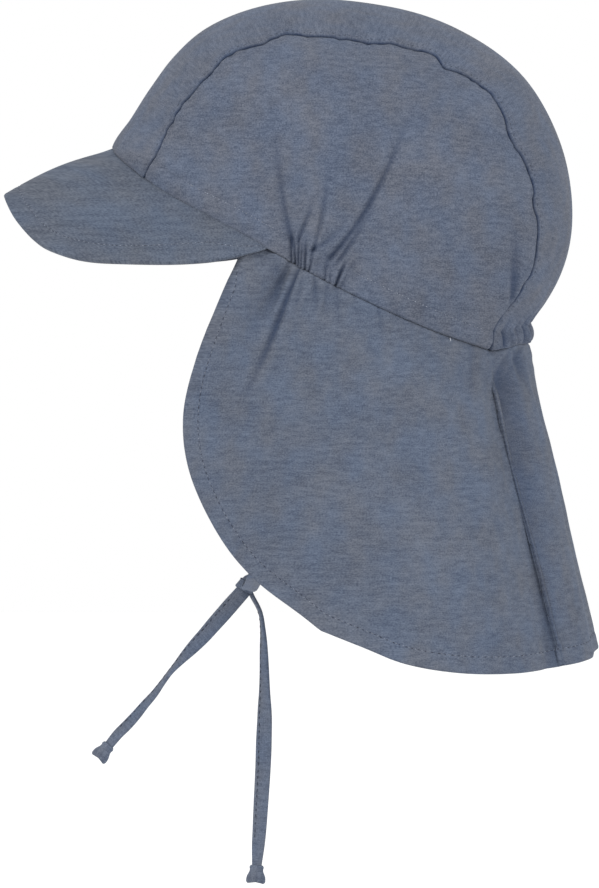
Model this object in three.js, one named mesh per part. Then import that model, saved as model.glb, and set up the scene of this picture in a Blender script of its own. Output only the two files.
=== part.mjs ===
// Legionnaire cap for a toddler: a three-panel crown with a curved peak, an elastic casing drawn in at
// the temples and the nape, a large neck flap, and two cloth ties in a half knot under the chin.
// Millimetres, +Z up, the peak towards -Y, +X the wearer's left. The origin is the middle of the
// head opening. A cloth shell is a grid of points on its outer face, thickened inwards.
import * as THREE from 'three';

// Crown, measured from a centre point a little above and behind the middle of the head opening
const crownLength = 180;
const crownBreadth = 144;
const crownRise = 82;
const crownCentreBack = 3.8;
const crownCentreUp = 12.2;
const crownRoundness = 2.1;
const centrePanelWidth = 88;

// Band seam, in degrees round the crown centre from level front, up over the top
const browTurn = 18.2;
const browCornerTurn = 10.6;
const napeTurn = 215.4;
const napeCornerTurn = 223.8;
const bandSag = 4.7;

// Cloth walls, hems and seams
const clothWall = 1.2;
const casingWall = 2.2;
const casingHeight = 7.6;
const hemWall = 2;
const hemWidth = 6.7;
const visorWall = 2.4;
const seamGap = 0.3;

// Gathers of the elastic
const gatherDepth = 2.2;
const napePuff = 4.1;
const napeFlutes = 5;
const napeFluteDepth = 0.5;
const puckerDepth = 1;
const puckerShare = 0.022;

// Peak: how far it stands out in front of the brow, and how far its sides hang under it
const visorReach = 41.8;
const visorDrop = 42.6;
const visorCamber = 1.6;
const visorTilt = 4.6;
const visorTiltHalf = 45;

// Neck flap, from the head opening's middle
const flapDrop = 159.7;
const flapBack = 106;
const flapFront = 51.8;
const flapBreadth = 124;
const flapBulge = 3;
const flapFoldDepth = 7;

// Chin ties
const tieWidth = 6;
const tieThickness = 1.2;
const tieTipWidth = 7.4;
const tieTipLength = 7;
const knotWidth = 8.5;
const knotHeight = 8;
const knotDepth = 7;
const knotBack = -27.7;
const knotUp = -128.2;

// Grid steps
const casingRows = 2;
const panelRows = 8;
const centreColumns = 14;
const visorRows = 5;
const flapRows = 11;
const ringCorners = 8;

const cloth = { crown: 0x6b7180, side: 0x697081, visor: 0x656d7b, flap: 0x686e7e, tie: 0x6b7283 };

const up = new THREE.Vector3(0, 0, 1);
const sideways = new THREE.Vector3(1, 0, 0);
const radians = THREE.MathUtils.degToRad;
const lerp = THREE.MathUtils.lerp;
const smooth = THREE.MathUtils.smoothstep;

// Smooth curve through a table's rows: value column over position column, flat beyond both ends
function along(rows, position, from, to) {
  const last = rows.length - 1;
  const at = THREE.MathUtils.clamp(position, rows[0][from], rows[last][from]);
  let i = 0;
  while (i < last - 1 && at > rows[i + 1][from]) i++;
  const span = rows[i + 1][from] - rows[i][from];
  const slope = (a, b) => (rows[b][to] - rows[a][to]) / (rows[b][from] - rows[a][from]) * span;
  const before = slope(Math.max(i - 1, 0), i + 1);
  const after = slope(i, Math.min(i + 2, last));
  const t = (at - rows[i][from]) / span;
  const rise = rows[i + 1][to] - rows[i][to];
  return rows[i][to] + t * (before + t * (3 * rise - 2 * before - after + t * (before + after - 2 * rise)));
}

// Side view of the crown: its reach at each turn, as a share of half its length and of its rise
const crownOutline = [
  { turn: -65, reach: 1.05 }, { turn: -38, reach: 0.89 }, { turn: -18, reach: 0.86 },
  { turn: 0, reach: 0.89 }, { turn: 11, reach: 0.935 }, { turn: 18, reach: 0.971 },
  { turn: 28, reach: 0.948 }, { turn: 38, reach: 0.96 }, { turn: 47, reach: 0.983 },
  { turn: 60, reach: 1.006 }, { turn: 85, reach: 1 }, { turn: 103, reach: 0.987 },
  { turn: 122, reach: 1.015 }, { turn: 141, reach: 1.034 }, { turn: 158, reach: 1.025 },
  { turn: 177, reach: 1.026 }, { turn: 194, reach: 1.014 }, { turn: 204, reach: 1 },
  { turn: 211, reach: 0.983 }, { turn: 217, reach: 0.99 }, { turn: 224, reach: 1.034 },
  { turn: 230, reach: 1.06 }, { turn: 240, reach: 1.13 },
  { turn: 258, reach: 1.2 }, { turn: 295, reach: 1.05 },
];

// Half width of the centre panel at each turn, as a share of half its greatest width
const centrePanelTaper = [
  { turn: 10.6, half: 0.91 }, { turn: 16, half: 1.02 }, { turn: 22, half: 1.04 }, { turn: 30, half: 0.975 },
  { turn: 46, half: 1.01 }, { turn: 60, half: 0.98 }, { turn: 70, half: 1.02 }, { turn: 77, half: 0.97 },
  { turn: 84, half: 1.03 }, { turn: 95, half: 1.03 }, { turn: 111, half: 1.02 }, { turn: 121, half: 0.985 },
  { turn: 126, half: 1.04 }, { turn: 135, half: 0.98 }, { turn: 147, half: 0.985 }, { turn: 158, half: 1.02 },
  { turn: 168, half: 0.965 }, { turn: 180, half: 0.95 }, { turn: 196, half: 0.85 }, { turn: 208, half: 0.835 },
  { turn: 218, half: 0.85 }, { turn: 224, half: 0.78 },
];

// Sag of the band seam under the straight line between the panel corners
const bandSagging = [
  { at: 0, sag: 0 }, { at: 0.1, sag: 0.35 }, { at: 0.3, sag: 0.6 }, { at: 0.5, sag: 0.95 },
  { at: 0.62, sag: 1 }, { at: 0.75, sag: 0.9 }, { at: 0.87, sag: 0.6 }, { at: 1, sag: 0 },
];

// Columns of each stretch of the side seam, closest over the temple, where the gathers are
const seamStretches = [
  { from: 0, to: 0.4, columns: 11 }, { from: 0.4, to: 0.57, columns: 13 },
  { from: 0.57, to: 0.9, columns: 10 }, { from: 0.9, to: 0.96, columns: 2 },
  { from: 0.96, to: 1, columns: 5 },
];

// Creases that fan out from the temple gathers: place on the band, lean back in degrees, length as a
// share of the crown's rise, depth and half width as shares of the gather's depth
const crownCreases = [
  { at: 0.441, lean: -33, length: 0.75, depth: 1, wide: 1 },
  { at: 0.45, lean: -13, length: 0.3, depth: 0.6, wide: 0.8 },
  { at: 0.47, lean: -11, length: 0.42, depth: 0.6, wide: 1 },
  { at: 0.49, lean: 30, length: 0.3, depth: 0.6, wide: 1 },
  { at: 0.53, lean: 1, length: 0.8, depth: 0.8, wide: 1.2 },
  { at: 0.575, lean: 1, length: 0.6, depth: 0.7, wide: 1.2 },
];
const flapCreases = [
  { at: 0.41, lean: 2, length: 0.45, depth: 0.9, wide: 1.8 },
  { at: 0.441, lean: 3, length: 0.95, depth: 1.1, wide: 2 },
  { at: 0.49, lean: 26, length: 0.4, depth: 0.5, wide: 1.6 },
  { at: 0.57, lean: 30, length: 0.4, depth: 0.4, wide: 1.6 },
  { at: 0.67, lean: 45, length: 0.4, depth: 0.4, wide: 2 },
];

// Puckers of the side seams, by place from the brow to the nape: a dent inwards, or a puff out
const seamPuckers = [
  { at: 0.1, dent: 0.7 }, { at: 0.19, dent: 0.5 }, { at: 0.26, dent: -0.5 }, { at: 0.41, dent: 1 },
  { at: 0.46, dent: -0.6 }, { at: 0.57, dent: 0.6 }, { at: 0.63, dent: -0.4 }, { at: 0.68, dent: 1 },
  { at: 0.74, dent: 0.4 }, { at: 0.83, dent: -0.4 },
];

// Peak edge by place along the seam: how far back from its tip to its rear corner, its drop under the
// brow, and its half breadth as a share of the rear corner's
const visorEdge = [
  { at: -0.14, back: 0.043, drop: 0.575, broad: -0.29 }, { at: 0, back: 0, drop: 0.41, broad: 0 },
  { at: 0.14, back: 0.043, drop: 0.575, broad: 0.29 }, { at: 0.25, back: 0.118, drop: 0.77, broad: 0.45 },
  { at: 0.36, back: 0.192, drop: 0.87, broad: 0.594 }, { at: 0.47, back: 0.298, drop: 0.95, broad: 0.725 },
  { at: 0.6, back: 0.443, drop: 0.985, broad: 0.855 }, { at: 0.73, back: 0.62, drop: 1, broad: 0.949 },
  { at: 0.85, back: 0.78, drop: 0.985, broad: 1 }, { at: 0.94, back: 0.917, drop: 0.94, broad: 1.008 },
  { at: 1, back: 1, drop: 0.93, broad: 1 },
];

// Flap edge from the temple round the front, the hem and the back: place on the band that hangs it,
// then how far back, up and out it lies, as shares of the flap's reach, drop and half breadth
const flapEdge = [
  { at: 0, back: -0.5, up: 0.02, side: 1.02 }, { at: 0.06, back: -0.72, up: -0.13, side: 0.98 },
  { at: 0.14, back: -0.9, up: -0.28, side: 0.95 }, { at: 0.22, back: -0.985, up: -0.41, side: 0.92 },
  { at: 0.3, back: -0.935, up: -0.54, side: 0.86 }, { at: 0.38, back: -0.735, up: -0.68, side: 0.78 },
  { at: 0.47, back: -0.475, up: -0.785, side: 0.71 }, { at: 0.55, back: -0.12, up: -0.873, side: 0.77 },
  { at: 0.63, back: 0.14, up: -0.94, side: 0.88 }, { at: 0.71, back: 0.3, up: -0.98, side: 0.97 },
  { at: 0.79, back: 0.5, up: -1, side: 1 }, { at: 0.86, back: 0.7, up: -1, side: 0.93 },
  { at: 0.92, back: 0.87, up: -0.987, side: 0.73 }, { at: 0.965, back: 0.965, up: -0.97, side: 0.38 },
  { at: 1, back: 1, up: -0.955, side: 0 }, { at: 1.035, back: 0.965, up: -0.97, side: -0.38 },
];

// Deep flutes of the flap behind the ears, by place on the band from the temple to the middle back
const flapFolds = [
  { at: 0.78, depth: 0.12, wide: 0.05 }, { at: 0.885, depth: -1, wide: 0.03 },
  { at: 0.94, depth: 0.25, wide: 0.03 }, { at: 0.975, depth: -0.35, wide: 0.02 },
];

// Crown as one dome: its side view's reach, and the share of the dome's reach left at a half width
function crownReach(turn) {
  const first = crownOutline[0].turn;
  return along(crownOutline, THREE.MathUtils.euclideanModulo(turn - first, 360) + first, 'turn', 'reach');
}
const domeShare = (side) => {
  const out = Math.min(Math.abs(side) / (crownBreadth / 2), 1);
  return (1 - out ** crownRoundness) ** (1 / crownRoundness);
};

// The nape's casing stands off the dome, full at its middle and nothing at its corners
function napeLift(across, toNape) {
  const height = THREE.MathUtils.clamp(toNape / casingHeight, 0, 1);
  const flute = Math.cos(across * Math.PI * napeFlutes) * Math.exp(-toNape / casingHeight);
  return napePuff * (1 - across ** 4) * Math.cos(height ** 2 * Math.PI / 2)
    + napeFluteDepth * (1 - across ** 4) * flute;
}

// Point of the dome at a turn and a sideways place
function domePoint(turn, side) {
  const reach = crownReach(turn) * domeShare(side);
  const back = crownCentreBack - Math.cos(radians(turn)) * reach * crownLength / 2;
  const height = crownCentreUp + Math.sin(radians(turn)) * reach * crownRise;
  return new THREE.Vector3(side, back, height);
}

// How far a point stands out of the dome: zero on it, and its gradient is the dome's normal
function domeLevel(point) {
  const forward = (crownCentreBack - point.y) / (crownLength / 2);
  const height = (point.z - crownCentreUp) / crownRise;
  const turn = THREE.MathUtils.radToDeg(Math.atan2(height, forward));
  const share = Math.hypot(forward, height) / crownReach(turn);
  return share ** crownRoundness + (Math.abs(point.x) / (crownBreadth / 2)) ** crownRoundness - 1;
}

function domeNormal(point) {
  const step = 0.4;
  const slope = (x, y, z) => domeLevel(point.clone().add(new THREE.Vector3(x, y, z)))
    - domeLevel(point.clone().sub(new THREE.Vector3(x, y, z)));
  return new THREE.Vector3(slope(step, 0, 0), slope(0, step, 0), slope(0, 0, step)).normalize();
}

// Outwards from the head across the band, so that what hangs from the band keeps its seam
const bandOutwards = (point) => domeNormal(point).projectOnPlane(bandUp).normalize();

// Left half breadth of the dome over a point of the side view
function domeSide(back, height) {
  const share = domeLevel(new THREE.Vector3(0, back, height)) + 1;
  return crownBreadth / 2 * Math.max(1 - share, 0) ** (1 / crownRoundness);
}

const centreHalf = (turn) => centrePanelWidth / 2 * along(centrePanelTaper, turn, 'turn', 'half');
const seamTurn = (share) => lerp(browCornerTurn, napeCornerTurn, share);

const browCorner = domePoint(browCornerTurn, centreHalf(browCornerTurn));
const napeCorner = domePoint(napeCornerTurn, centreHalf(napeCornerTurn));
const bandLine = new THREE.Vector3(0, napeCorner.y - browCorner.y, napeCorner.z - browCorner.z);
const bandUp = new THREE.Vector3(0, -bandLine.z, bandLine.y).normalize();

// Band seam of the left side panel, 0 at the brow corner and 1 at the nape corner, raised by a lift
function bandPoint(share, lift) {
  const point = new THREE.Vector3(0, browCorner.y, browCorner.z).addScaledVector(bandLine, share);
  point.addScaledVector(bandUp, lift - bandSag * along(bandSagging, share, 'at', 'sag'));
  return point.setX(domeSide(point.y, point.z));
}

// Band seam under the centre panel: a sideways place at the brow or the nape, raised by a lift
function centreBandTurn(side, isNape, lift) {
  const corner = isNape ? napeCornerTurn : browCornerTurn;
  const middle = isNape ? napeTurn : browTurn;
  const share = Math.min(Math.abs(side) / centreHalf(corner), 1);
  const raise = THREE.MathUtils.radToDeg(lift / (crownLength / 2));
  return lerp(middle, corner, share ** 2) + (isNape ? -raise : raise);
}

// Places of the columns of a table's stretches, its end too
const placesOf = (stretches) => stretches.flatMap(({ from, to, columns }) =>
  Array.from({ length: columns }, (_, i) => lerp(from, to, i / columns))).concat(1);

// Stations along the side seam, shared by the panels that meet there
const seamStations = placesOf(seamStretches);

// Depth of the creases of a table at a point of the side view, in the band's own directions
function creaseDepth(creases, point, reach, downwards) {
  let depth = 0;
  const axis = bandLine.clone().normalize();
  for (const { at, lean, length, depth: share, wide } of creases) {
    const start = bandPoint(at, 0);
    const offset = point.clone().sub(start).setX(0);
    const rise = offset.dot(bandUp) * (downwards ? -1 : 1);
    const back = offset.dot(axis);
    const tilt = radians(lean);
    const run = rise * Math.cos(tilt) + back * Math.sin(tilt);
    const across = back * Math.cos(tilt) - rise * Math.sin(tilt);
    const fade = 1 - smooth(run, 0, length * reach);
    const spread = wide * gatherDepth * (1 + run / casingHeight / 3);
    if (run > -casingHeight && spread > 0) depth += share * fade * Math.exp(-((across / spread) ** 2));
  }
  return gatherDepth * depth;
}

// Puckers along a topstitched seam: shallow dents that die away from it
function puckers(place, distance) {
  let depth = 0;
  for (const { at, dent } of seamPuckers) depth += dent * Math.exp(-(((place - at) / puckerShare) ** 2));
  return -puckerDepth * depth * Math.exp(-distance / casingHeight);
}

// Closed cloth shell from a grid of points and normals, each column with its wall thickness. Columns
// that shrink to a point leave out the faces that vanish.
function clothShell(grid, normals, walls, mirrored) {
  const columns = grid.length;
  const rows = grid[0].length;
  const inner = grid.map((column, i) => column.map((point, j) =>
    point.clone().addScaledVector(normals[i][j], -walls[i][j])));
  const positions = [];
  const places = new Map();
  const place = (point) => {
    const x = mirrored ? -point.x : point.x;
    const key = [x, point.y, point.z].map((value) => value.toFixed(3)).join();
    if (!places.has(key)) {
      places.set(key, positions.length / 3);
      positions.push(x, point.y, point.z);
    }
    return places.get(key);
  };
  const faces = [];
  const triangle = (a, b, c) => {
    const [p, q, r] = [place(a), place(b), place(c)];
    if (p !== q && q !== r && r !== p) faces.push(...(mirrored ? [p, r, q] : [p, q, r]));
  };
  const quad = (a, b, c, d) => {
    const leaning = a.distanceTo(c) > 1.2 * b.distanceTo(d);
    triangle(a, b, leaning ? d : c);
    triangle(leaning ? b : a, c, d);
  };
  const eachEdge = (count, draw) => {
    for (let i = 0; i < count - 1; i++) draw(i, i + 1);
  };
  eachEdge(columns, (i, k) => eachEdge(rows, (j, l) => {
    quad(grid[i][j], grid[k][j], grid[k][l], grid[i][l]);
    quad(inner[i][j], inner[i][l], inner[k][l], inner[k][j]);
  }));
  eachEdge(columns, (i, k) => {
    quad(grid[i][0], inner[i][0], inner[k][0], grid[k][0]);
    quad(grid[k][rows - 1], inner[k][rows - 1], inner[i][rows - 1], grid[i][rows - 1]);
  });
  eachEdge(rows, (j, l) => {
    quad(grid[0][l], inner[0][l], inner[0][j], grid[0][j]);
    quad(grid[columns - 1][j], inner[columns - 1][j], inner[columns - 1][l], grid[columns - 1][l]);
  });
  return solidGeometry(positions, faces);
}

// Indexed geometry with its faces turned outwards
function solidGeometry(positions, faces) {
  const corner = (index) => new THREE.Vector3().fromArray(positions, faces[index] * 3);
  let volume = 0;
  for (let i = 0; i < faces.length; i += 3) {
    volume += corner(i).dot(corner(i + 1).cross(corner(i + 2)));
  }
  if (volume < 0) {
    for (let i = 0; i < faces.length; i += 3) [faces[i + 1], faces[i + 2]] = [faces[i + 2], faces[i + 1]];
  }
  const geometry = new THREE.BufferGeometry();
  geometry.setAttribute('position', new THREE.Float32BufferAttribute(positions, 3));
  geometry.setIndex(faces);
  geometry.computeVertexNormals();
  return geometry;
}

// Normals of a grid from its neighbours, borrowed from the next column where one shrinks to a point
function gridNormals(grid) {
  const columns = grid.length;
  const rows = grid[0].length;
  const step = (list, i) => list[Math.min(i + 1, list.length - 1)].clone().sub(list[Math.max(i - 1, 0)]);
  const facing = (i, j) => step(grid.map((column) => column[j]), i).cross(step(grid[i], j));
  const shrunk = (i) => grid[i][0].distanceTo(grid[i][rows - 1]) < seamGap;
  return grid.map((column, i) => column.map((_, j) => {
    const from = shrunk(i) ? (i === 0 ? 1 : columns - 2) : i;
    return facing(from, j).normalize();
  }));
}

const steps = (count) => Array.from({ length: count + 1 }, (_, i) => i / count);

// A grid's column on the wearer's other side
const mirror = (column) => column.map((point) => new THREE.Vector3(-point.x, point.y, point.z));

// Rows of a crown panel as shares of a strip's length: the casing first, then the open cloth
function panelHeights(length) {
  const casing = Math.min(casingHeight / length, 0.5);
  const low = steps(casingRows).map((share) => share * casing);
  return low.concat(steps(panelRows).slice(1).map((share) => lerp(casing, 1, share)));
}

const wallAbove = (height) =>
  lerp(casingWall, clothWall, smooth(height, casingHeight * 0.9, casingHeight * 1.1));

// Half-moon side panel, its casing drawn in by the elastic at the temple
function sidePanel(mirrored) {
  const cornerTrim = 0.012;
  const grid = [];
  const normals = [];
  const walls = [];
  for (const station of seamStations) {
    const share = THREE.MathUtils.clamp(station, cornerTrim, 1 - cornerTrim);
    const turn = seamTurn(share);
    const top = domePoint(turn, centreHalf(turn) + seamGap / 2);
    const even = (1 - Math.cos(Math.PI * share)) / 2;
    const bottom = bandPoint((share + even) / 2, seamGap / 2);
    const length = Math.hypot(top.y - bottom.y, top.z - bottom.z);
    const heights = panelHeights(length);
    const column = heights.map((height) => {
      const back = lerp(bottom.y, top.y, height);
      const lift = lerp(bottom.z, top.z, height);
      return new THREE.Vector3(height === 1 ? top.x : domeSide(back, lift), back, lift);
    });
    const facing = column.map((point, j) => (j === 0 ? bandOutwards(point) : domeNormal(point)));
    column.forEach((point, j) => {
      const fromSeam = length * (1 - heights[j]);
      const held = smooth(fromSeam, 0, casingHeight);
      point.addScaledVector(facing[j], puckers(share, fromSeam)
        - held * creaseDepth(crownCreases, point, crownRise, false));
    });
    grid.push(column);
    normals.push(facing);
    walls.push(heights.map((height) => wallAbove(height * length)));
  }
  return clothShell(grid, normals, walls, mirrored);
}

// Centre panel: the strip from the brow over the top, its last stretch a puffed and fluted casing
function centrePanel() {
  const grid = [];
  const normals = [];
  const walls = [];
  const turnLength = radians(1) * crownLength / 2;
  for (const across of steps(centreColumns).map((share) => 2 * share - 1)) {
    const column = [];
    const wallColumn = [];
    for (const station of seamStations) {
      const half = centreHalf(seamTurn(station)) - seamGap / 2;
      const side = across * half;
      const first = centreBandTurn(side, false, seamGap / 2);
      const last = centreBandTurn(side, true, seamGap / 2);
      const turn = lerp(first, last, station);
      const point = domePoint(turn, side);
      const toNape = (last - turn) * turnLength;
      const seam = puckers(station, half - Math.abs(side));
      point.addScaledVector(domeNormal(point), napeLift(across, toNape) + seam);
      column.push(point);
      wallColumn.push(wallAbove(Math.min(toNape, (turn - first) * turnLength)));
    }
    grid.push(column);
    normals.push(column.map(domeNormal));
    walls.push(wallColumn);
  }
  return clothShell(grid, normals, walls, false);
}

// Place along the band where the peak's rear corner lies, and where the flap starts behind it
const visorCornerShare = 0.37;
const flapStartShare = 0.3;

// Columns of half the peak, and the share of them under the centre panel
const visorColumns = 14;
const visorBrowShare = 5 / visorColumns;

// Share of the peak's edge from which it closes in on the rear corner
const visorCloseShare = 0.9;

// Left half of the band seam as the peak meets it, 0 at the brow's middle and 1 at its rear corner
function visorSeam(share) {
  if (share < visorBrowShare) {
    const side = centreHalf(browCornerTurn) * share / visorBrowShare;
    return domePoint(centreBandTurn(side, false, -seamGap / 2), side);
  }
  return bandPoint(visorCornerShare * (share - visorBrowShare) / (1 - visorBrowShare), -seamGap / 2);
}

// The peak's left edge hangs lower than its right one by its tilt, full past a half width
function visorSink(side, closing) {
  const share = THREE.MathUtils.clamp(side / visorTiltHalf, -1, 1);
  return visorTilt / 2 * Math.sin(share * Math.PI / 2) * (1 - closing);
}

// Peak: from the band seam out to its edge, arched across and a little hollow from brow to edge
function visor() {
  const brow = visorSeam(0);
  const corner = visorSeam(1);
  const column = (share, isRight) => {
    const seam = visorSeam(share);
    const back = along(visorEdge, share, 'at', 'back');
    const drop = along(visorEdge, share, 'at', 'drop');
    const broad = along(visorEdge, share, 'at', 'broad');
    const edge = new THREE.Vector3(
      corner.x * broad, lerp(brow.y - visorReach, corner.y, back), brow.z - visorDrop * drop);
    const closing = smooth(share, visorCloseShare, 1);
    edge.lerp(corner, closing);
    const sink = visorSink(isRight ? -edge.x : edge.x, closing);
    return steps(visorRows).map((depth) => {
      const point = seam.clone().lerp(edge, depth);
      const lift = visorCamber * Math.sin(Math.PI * depth) * (1 - share);
      return point.addScaledVector(up, lift - sink * depth);
    });
  };
  const left = steps(visorColumns).map((share) => column(share, false));
  const right = steps(visorColumns).slice(1).reverse().map((share) => mirror(column(share, true)));
  const grid = right.concat(left);
  const normals = gridNormals(grid).map((column) => column.map((normal) => normal.negate()));
  const walls = grid.map((column) => column.map(() => visorWall));
  return clothShell(grid, normals, walls, false);
}

// Left half of the band seam as the flap hangs from it, 0 behind the peak and 1 at the middle back
const flapNapeShare = 0.9;
const flapTuckShare = 0.03;
function flapTop(share) {
  const lift = -0.8 * seamGap;
  const bandShare = lerp(flapStartShare, 1, share / flapNapeShare);
  let point;
  if (share < flapNapeShare) {
    point = bandPoint(bandShare, lift);
  } else {
    const across = (1 - share) / (1 - flapNapeShare);
    const side = centreHalf(napeCornerTurn) * across;
    point = domePoint(centreBandTurn(side, true, lift), side);
    point.addScaledVector(domeNormal(point), napeLift(across, 0));
  }
  const tucked = smooth(bandShare - visorCornerShare, 0, flapTuckShare);
  const inset = (visorWall + 2 * seamGap) * (1 - tucked);
  const gathered = share < flapNapeShare ? creaseDepth(crownCreases, point, crownRise, false) : 0;
  return point.addScaledVector(bandOutwards(point), -inset - gathered);
}

function flapRim(share) {
  const back = along(flapEdge, share, 'at', 'back');
  const rise = along(flapEdge, share, 'at', 'up');
  const side = along(flapEdge, share, 'at', 'side');
  return new THREE.Vector3(side * flapBreadth / 2, back * (back > 0 ? flapBack : flapFront), rise * flapDrop);
}

// Places of the flap's columns: close under the temple gathers and at the nape
const flapFrontShare = 0.06;
const flapStretches = [
  { from: 0, to: flapFrontShare, columns: 2 }, { from: flapFrontShare, to: 0.42, columns: 13 },
  { from: 0.42, to: 0.84, columns: 7 }, { from: 0.84, to: flapNapeShare, columns: 3 },
  { from: flapNapeShare, to: 1, columns: 7 },
];
// Which place of the rim each place of the band hangs
const flapFan = [
  { band: 0, rim: 0 }, { band: 0.1, rim: 0.12 }, { band: 0.22, rim: 0.28 }, { band: 0.42, rim: 0.46 },
  { band: 0.6, rim: 0.61 }, { band: 0.74, rim: 0.74 }, { band: 0.9, rim: 0.92 }, { band: 1, rim: 1 },
];

// How far the flap's sides bulge to the back as well as sideways, as a share
const flapSideways = 0.3;

// Neck flap: hung from the band, fanned out to its rim, fluted behind and creased under the temples
function neckFlap() {
  const half = placesOf(flapStretches).map((share) => {
    const top = flapTop(share);
    const rim = share === 0 ? top : flapRim(along(flapFan, share, 'band', 'rim'));
    const backwards = share > flapNapeShare ? 1 : flapSideways;
    const outwards = new THREE.Vector3(top.x + rim.x, (top.y + rim.y) * backwards, 0).normalize();
    return steps(flapRows).map((depth) => {
      const point = top.clone().lerp(rim, depth);
      let push = flapBulge * Math.sin(Math.PI * depth) * (1 - share ** 6);
      for (const fold of flapFolds) {
        const shape = Math.exp(-(((share - fold.at) / fold.wide) ** 2));
        push += flapFoldDepth * fold.depth * shape * smooth(depth, 0, 0.25) * (1 - 0.4 * depth);
      }
      push -= creaseDepth(flapCreases, point, crownRise, true) * smooth(depth, 0, 0.1) * (1 - depth);
      if (share > 0) point.addScaledVector(outwards, push * Math.min(share / flapFrontShare, 1));
      return point;
    });
  });
  const grid = half.concat(half.slice(0, -1).reverse().map(mirror));
  const normals = gridNormals(grid).map((column) => column.map((normal, j) =>
    (j === 0 ? normal.projectOnPlane(bandUp).normalize() : normal).negate()));
  const walls = grid.map((column) => {
    const length = column[0].distanceTo(column[flapRows]);
    return column.map((_, j) => {
      const fromRim = length * (1 - j / flapRows);
      return lerp(hemWall, clothWall, smooth(fromRim, hemWidth * 0.9, hemWidth * 1.5));
    });
  });
  return clothShell(grid, normals, walls, false);
}

// Flat ring with rounded edges, round a middle point
function flatRing(middle, wide, thick, width, thickness) {
  return Array.from({ length: ringCorners }, (_, k) => {
    const angle = (k + 0.5) * 2 * Math.PI / ringCorners;
    const edge = Math.abs(Math.cos(angle)) > Math.SQRT1_2 ? 1 : 0.8;
    return middle.clone()
      .addScaledVector(wide, Math.sign(Math.cos(angle)) * edge * width / 2)
      .addScaledVector(thick, Math.sin(angle) * thickness / 2);
  });
}

// Flat strip of cloth along a route, its face turned from a reference direction
function strip(route, sections, reference) {
  const curve = new THREE.CatmullRomCurve3(route);
  const count = Math.max(4, Math.round(curve.getLength() / (tieWidth * 0.9)));
  const rings = steps(count).map((share) => {
    const middle = curve.getPointAt(share);
    const tangent = curve.getTangentAt(share);
    const turn = radians(along(sections, share, 'at', 'turn'));
    const wide = reference.clone().cross(tangent).normalize().applyAxisAngle(tangent, turn);
    const thick = tangent.clone().cross(wide).normalize();
    return flatRing(middle, wide, thick, along(sections, share, 'at', 'width') * tieWidth, tieThickness);
  });
  return ringSolid(rings);
}

// Closed solid through rings of points, its two ends closed by fans
function ringSolid(rings) {
  const corners = rings[0].length;
  const positions = rings.flat().flatMap((point) => point.toArray());
  const faces = [];
  for (let i = 0; i < rings.length - 1; i++) {
    for (let k = 0; k < corners; k++) {
      const next = (k + 1) % corners;
      const [a, b, c, d] = [i * corners + k, i * corners + next, (i + 1) * corners + next, (i + 1) * corners + k];
      faces.push(a, b, c, a, c, d);
    }
  }
  for (let k = 1; k < corners - 1; k++) {
    const end = (rings.length - 1) * corners;
    faces.push(0, k + 1, k, end, end + k, end + k + 1);
  }
  return solidGeometry(positions, faces);
}

// Half knot: a soft lump with a strip wound round its waist
function tieKnot() {
  const turns = 14;
  const levels = [
    { height: -1, wide: 0.35 }, { height: -0.8, wide: 0.62 }, { height: -0.5, wide: 0.74 },
    { height: -0.38, wide: 0.98 }, { height: 0, wide: 1.05 }, { height: 0.38, wide: 0.98 },
    { height: 0.5, wide: 0.78 }, { height: 0.8, wide: 0.68 }, { height: 1, wide: 0.4 },
  ];
  const rings = levels.map(({ height, wide }) => Array.from({ length: turns }, (_, k) => {
    const angle = 2 * Math.PI * k / turns;
    const lean = 0.12 * knotHeight * Math.cos(angle);
    return new THREE.Vector3(
      Math.cos(angle) * wide * knotDepth / 2,
      knotBack + Math.sin(angle) * wide * knotWidth / 2,
      knotUp + height * knotHeight / 2 + lean);
  }));
  return ringSolid(rings);
}

// Flared, sewn end of a tie, running on from its last two route points
function tieTip(route, sections) {
  const end = route[route.length - 1];
  const tangent = end.clone().sub(route[route.length - 2]).normalize();
  const lastTurn = radians(sections[sections.length - 1].turn);
  const wide = sideways.clone().cross(tangent).normalize().applyAxisAngle(tangent, lastTurn);
  const thick = tangent.clone().cross(wide).normalize();
  const outline = [
    { at: 0, wide: 0.5, thick: 1.5 }, { at: 0.2, wide: 0.6, thick: 1.7 }, { at: 0.6, wide: 0.96, thick: 1.4 },
    { at: 0.85, wide: 1, thick: 1.3 }, { at: 1, wide: 0.72, thick: 1.1 },
  ];
  return ringSolid(outline.map((section) => {
    const middle = end.clone().addScaledVector(tangent, seamGap + section.at * tieTipLength);
    return flatRing(middle, wide, thick, section.wide * tieTipWidth, section.thick * tieThickness);
  }));
}

// Routes of the ties, in millimetres: from the flap to the knot, and from the knot to the tips
const rootRoute = [
  [42.2, -24.6, -124.8], [39.7, -24.8, -125.6], [37.2, -25.1, -126.3], [34.7, -25.3, -127],
  [32.2, -25.6, -127.6], [29.7, -25.9, -128.2], [27.1, -26.2, -128.7], [24.6, -26.4, -129.1],
  [22, -26.7, -129.3], [19.4, -26.9, -129.5], [16.8, -27.1, -129.6], [14.2, -27.3, -129.6],
  [11.6, -27.5, -129.4], [9, -27.6, -129.2], [6.4, -27.7, -128.9], [3.8, -27.7, -128.5],
];
const frontTailRoute = [
  [0.9, -30.15, -131.85], [1.6, -33.5, -135.6], [2.1, -36.8, -139.4], [2.5, -40.2, -143.2],
  [2.7, -43.5, -147], [2.8, -47, -150.7], [2.8, -50.5, -154.4], [2.8, -53.9, -158.1],
  [2.6, -57.2, -161.9], [2.5, -60.2, -166], [2.3, -63.2, -170.1], [2, -66.6, -173.9],
  [1.7, -69.8, -177.8], [1.5, -73.2, -181.5], [1.4, -76.8, -185.1], [1.2, -80, -189],
];
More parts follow.
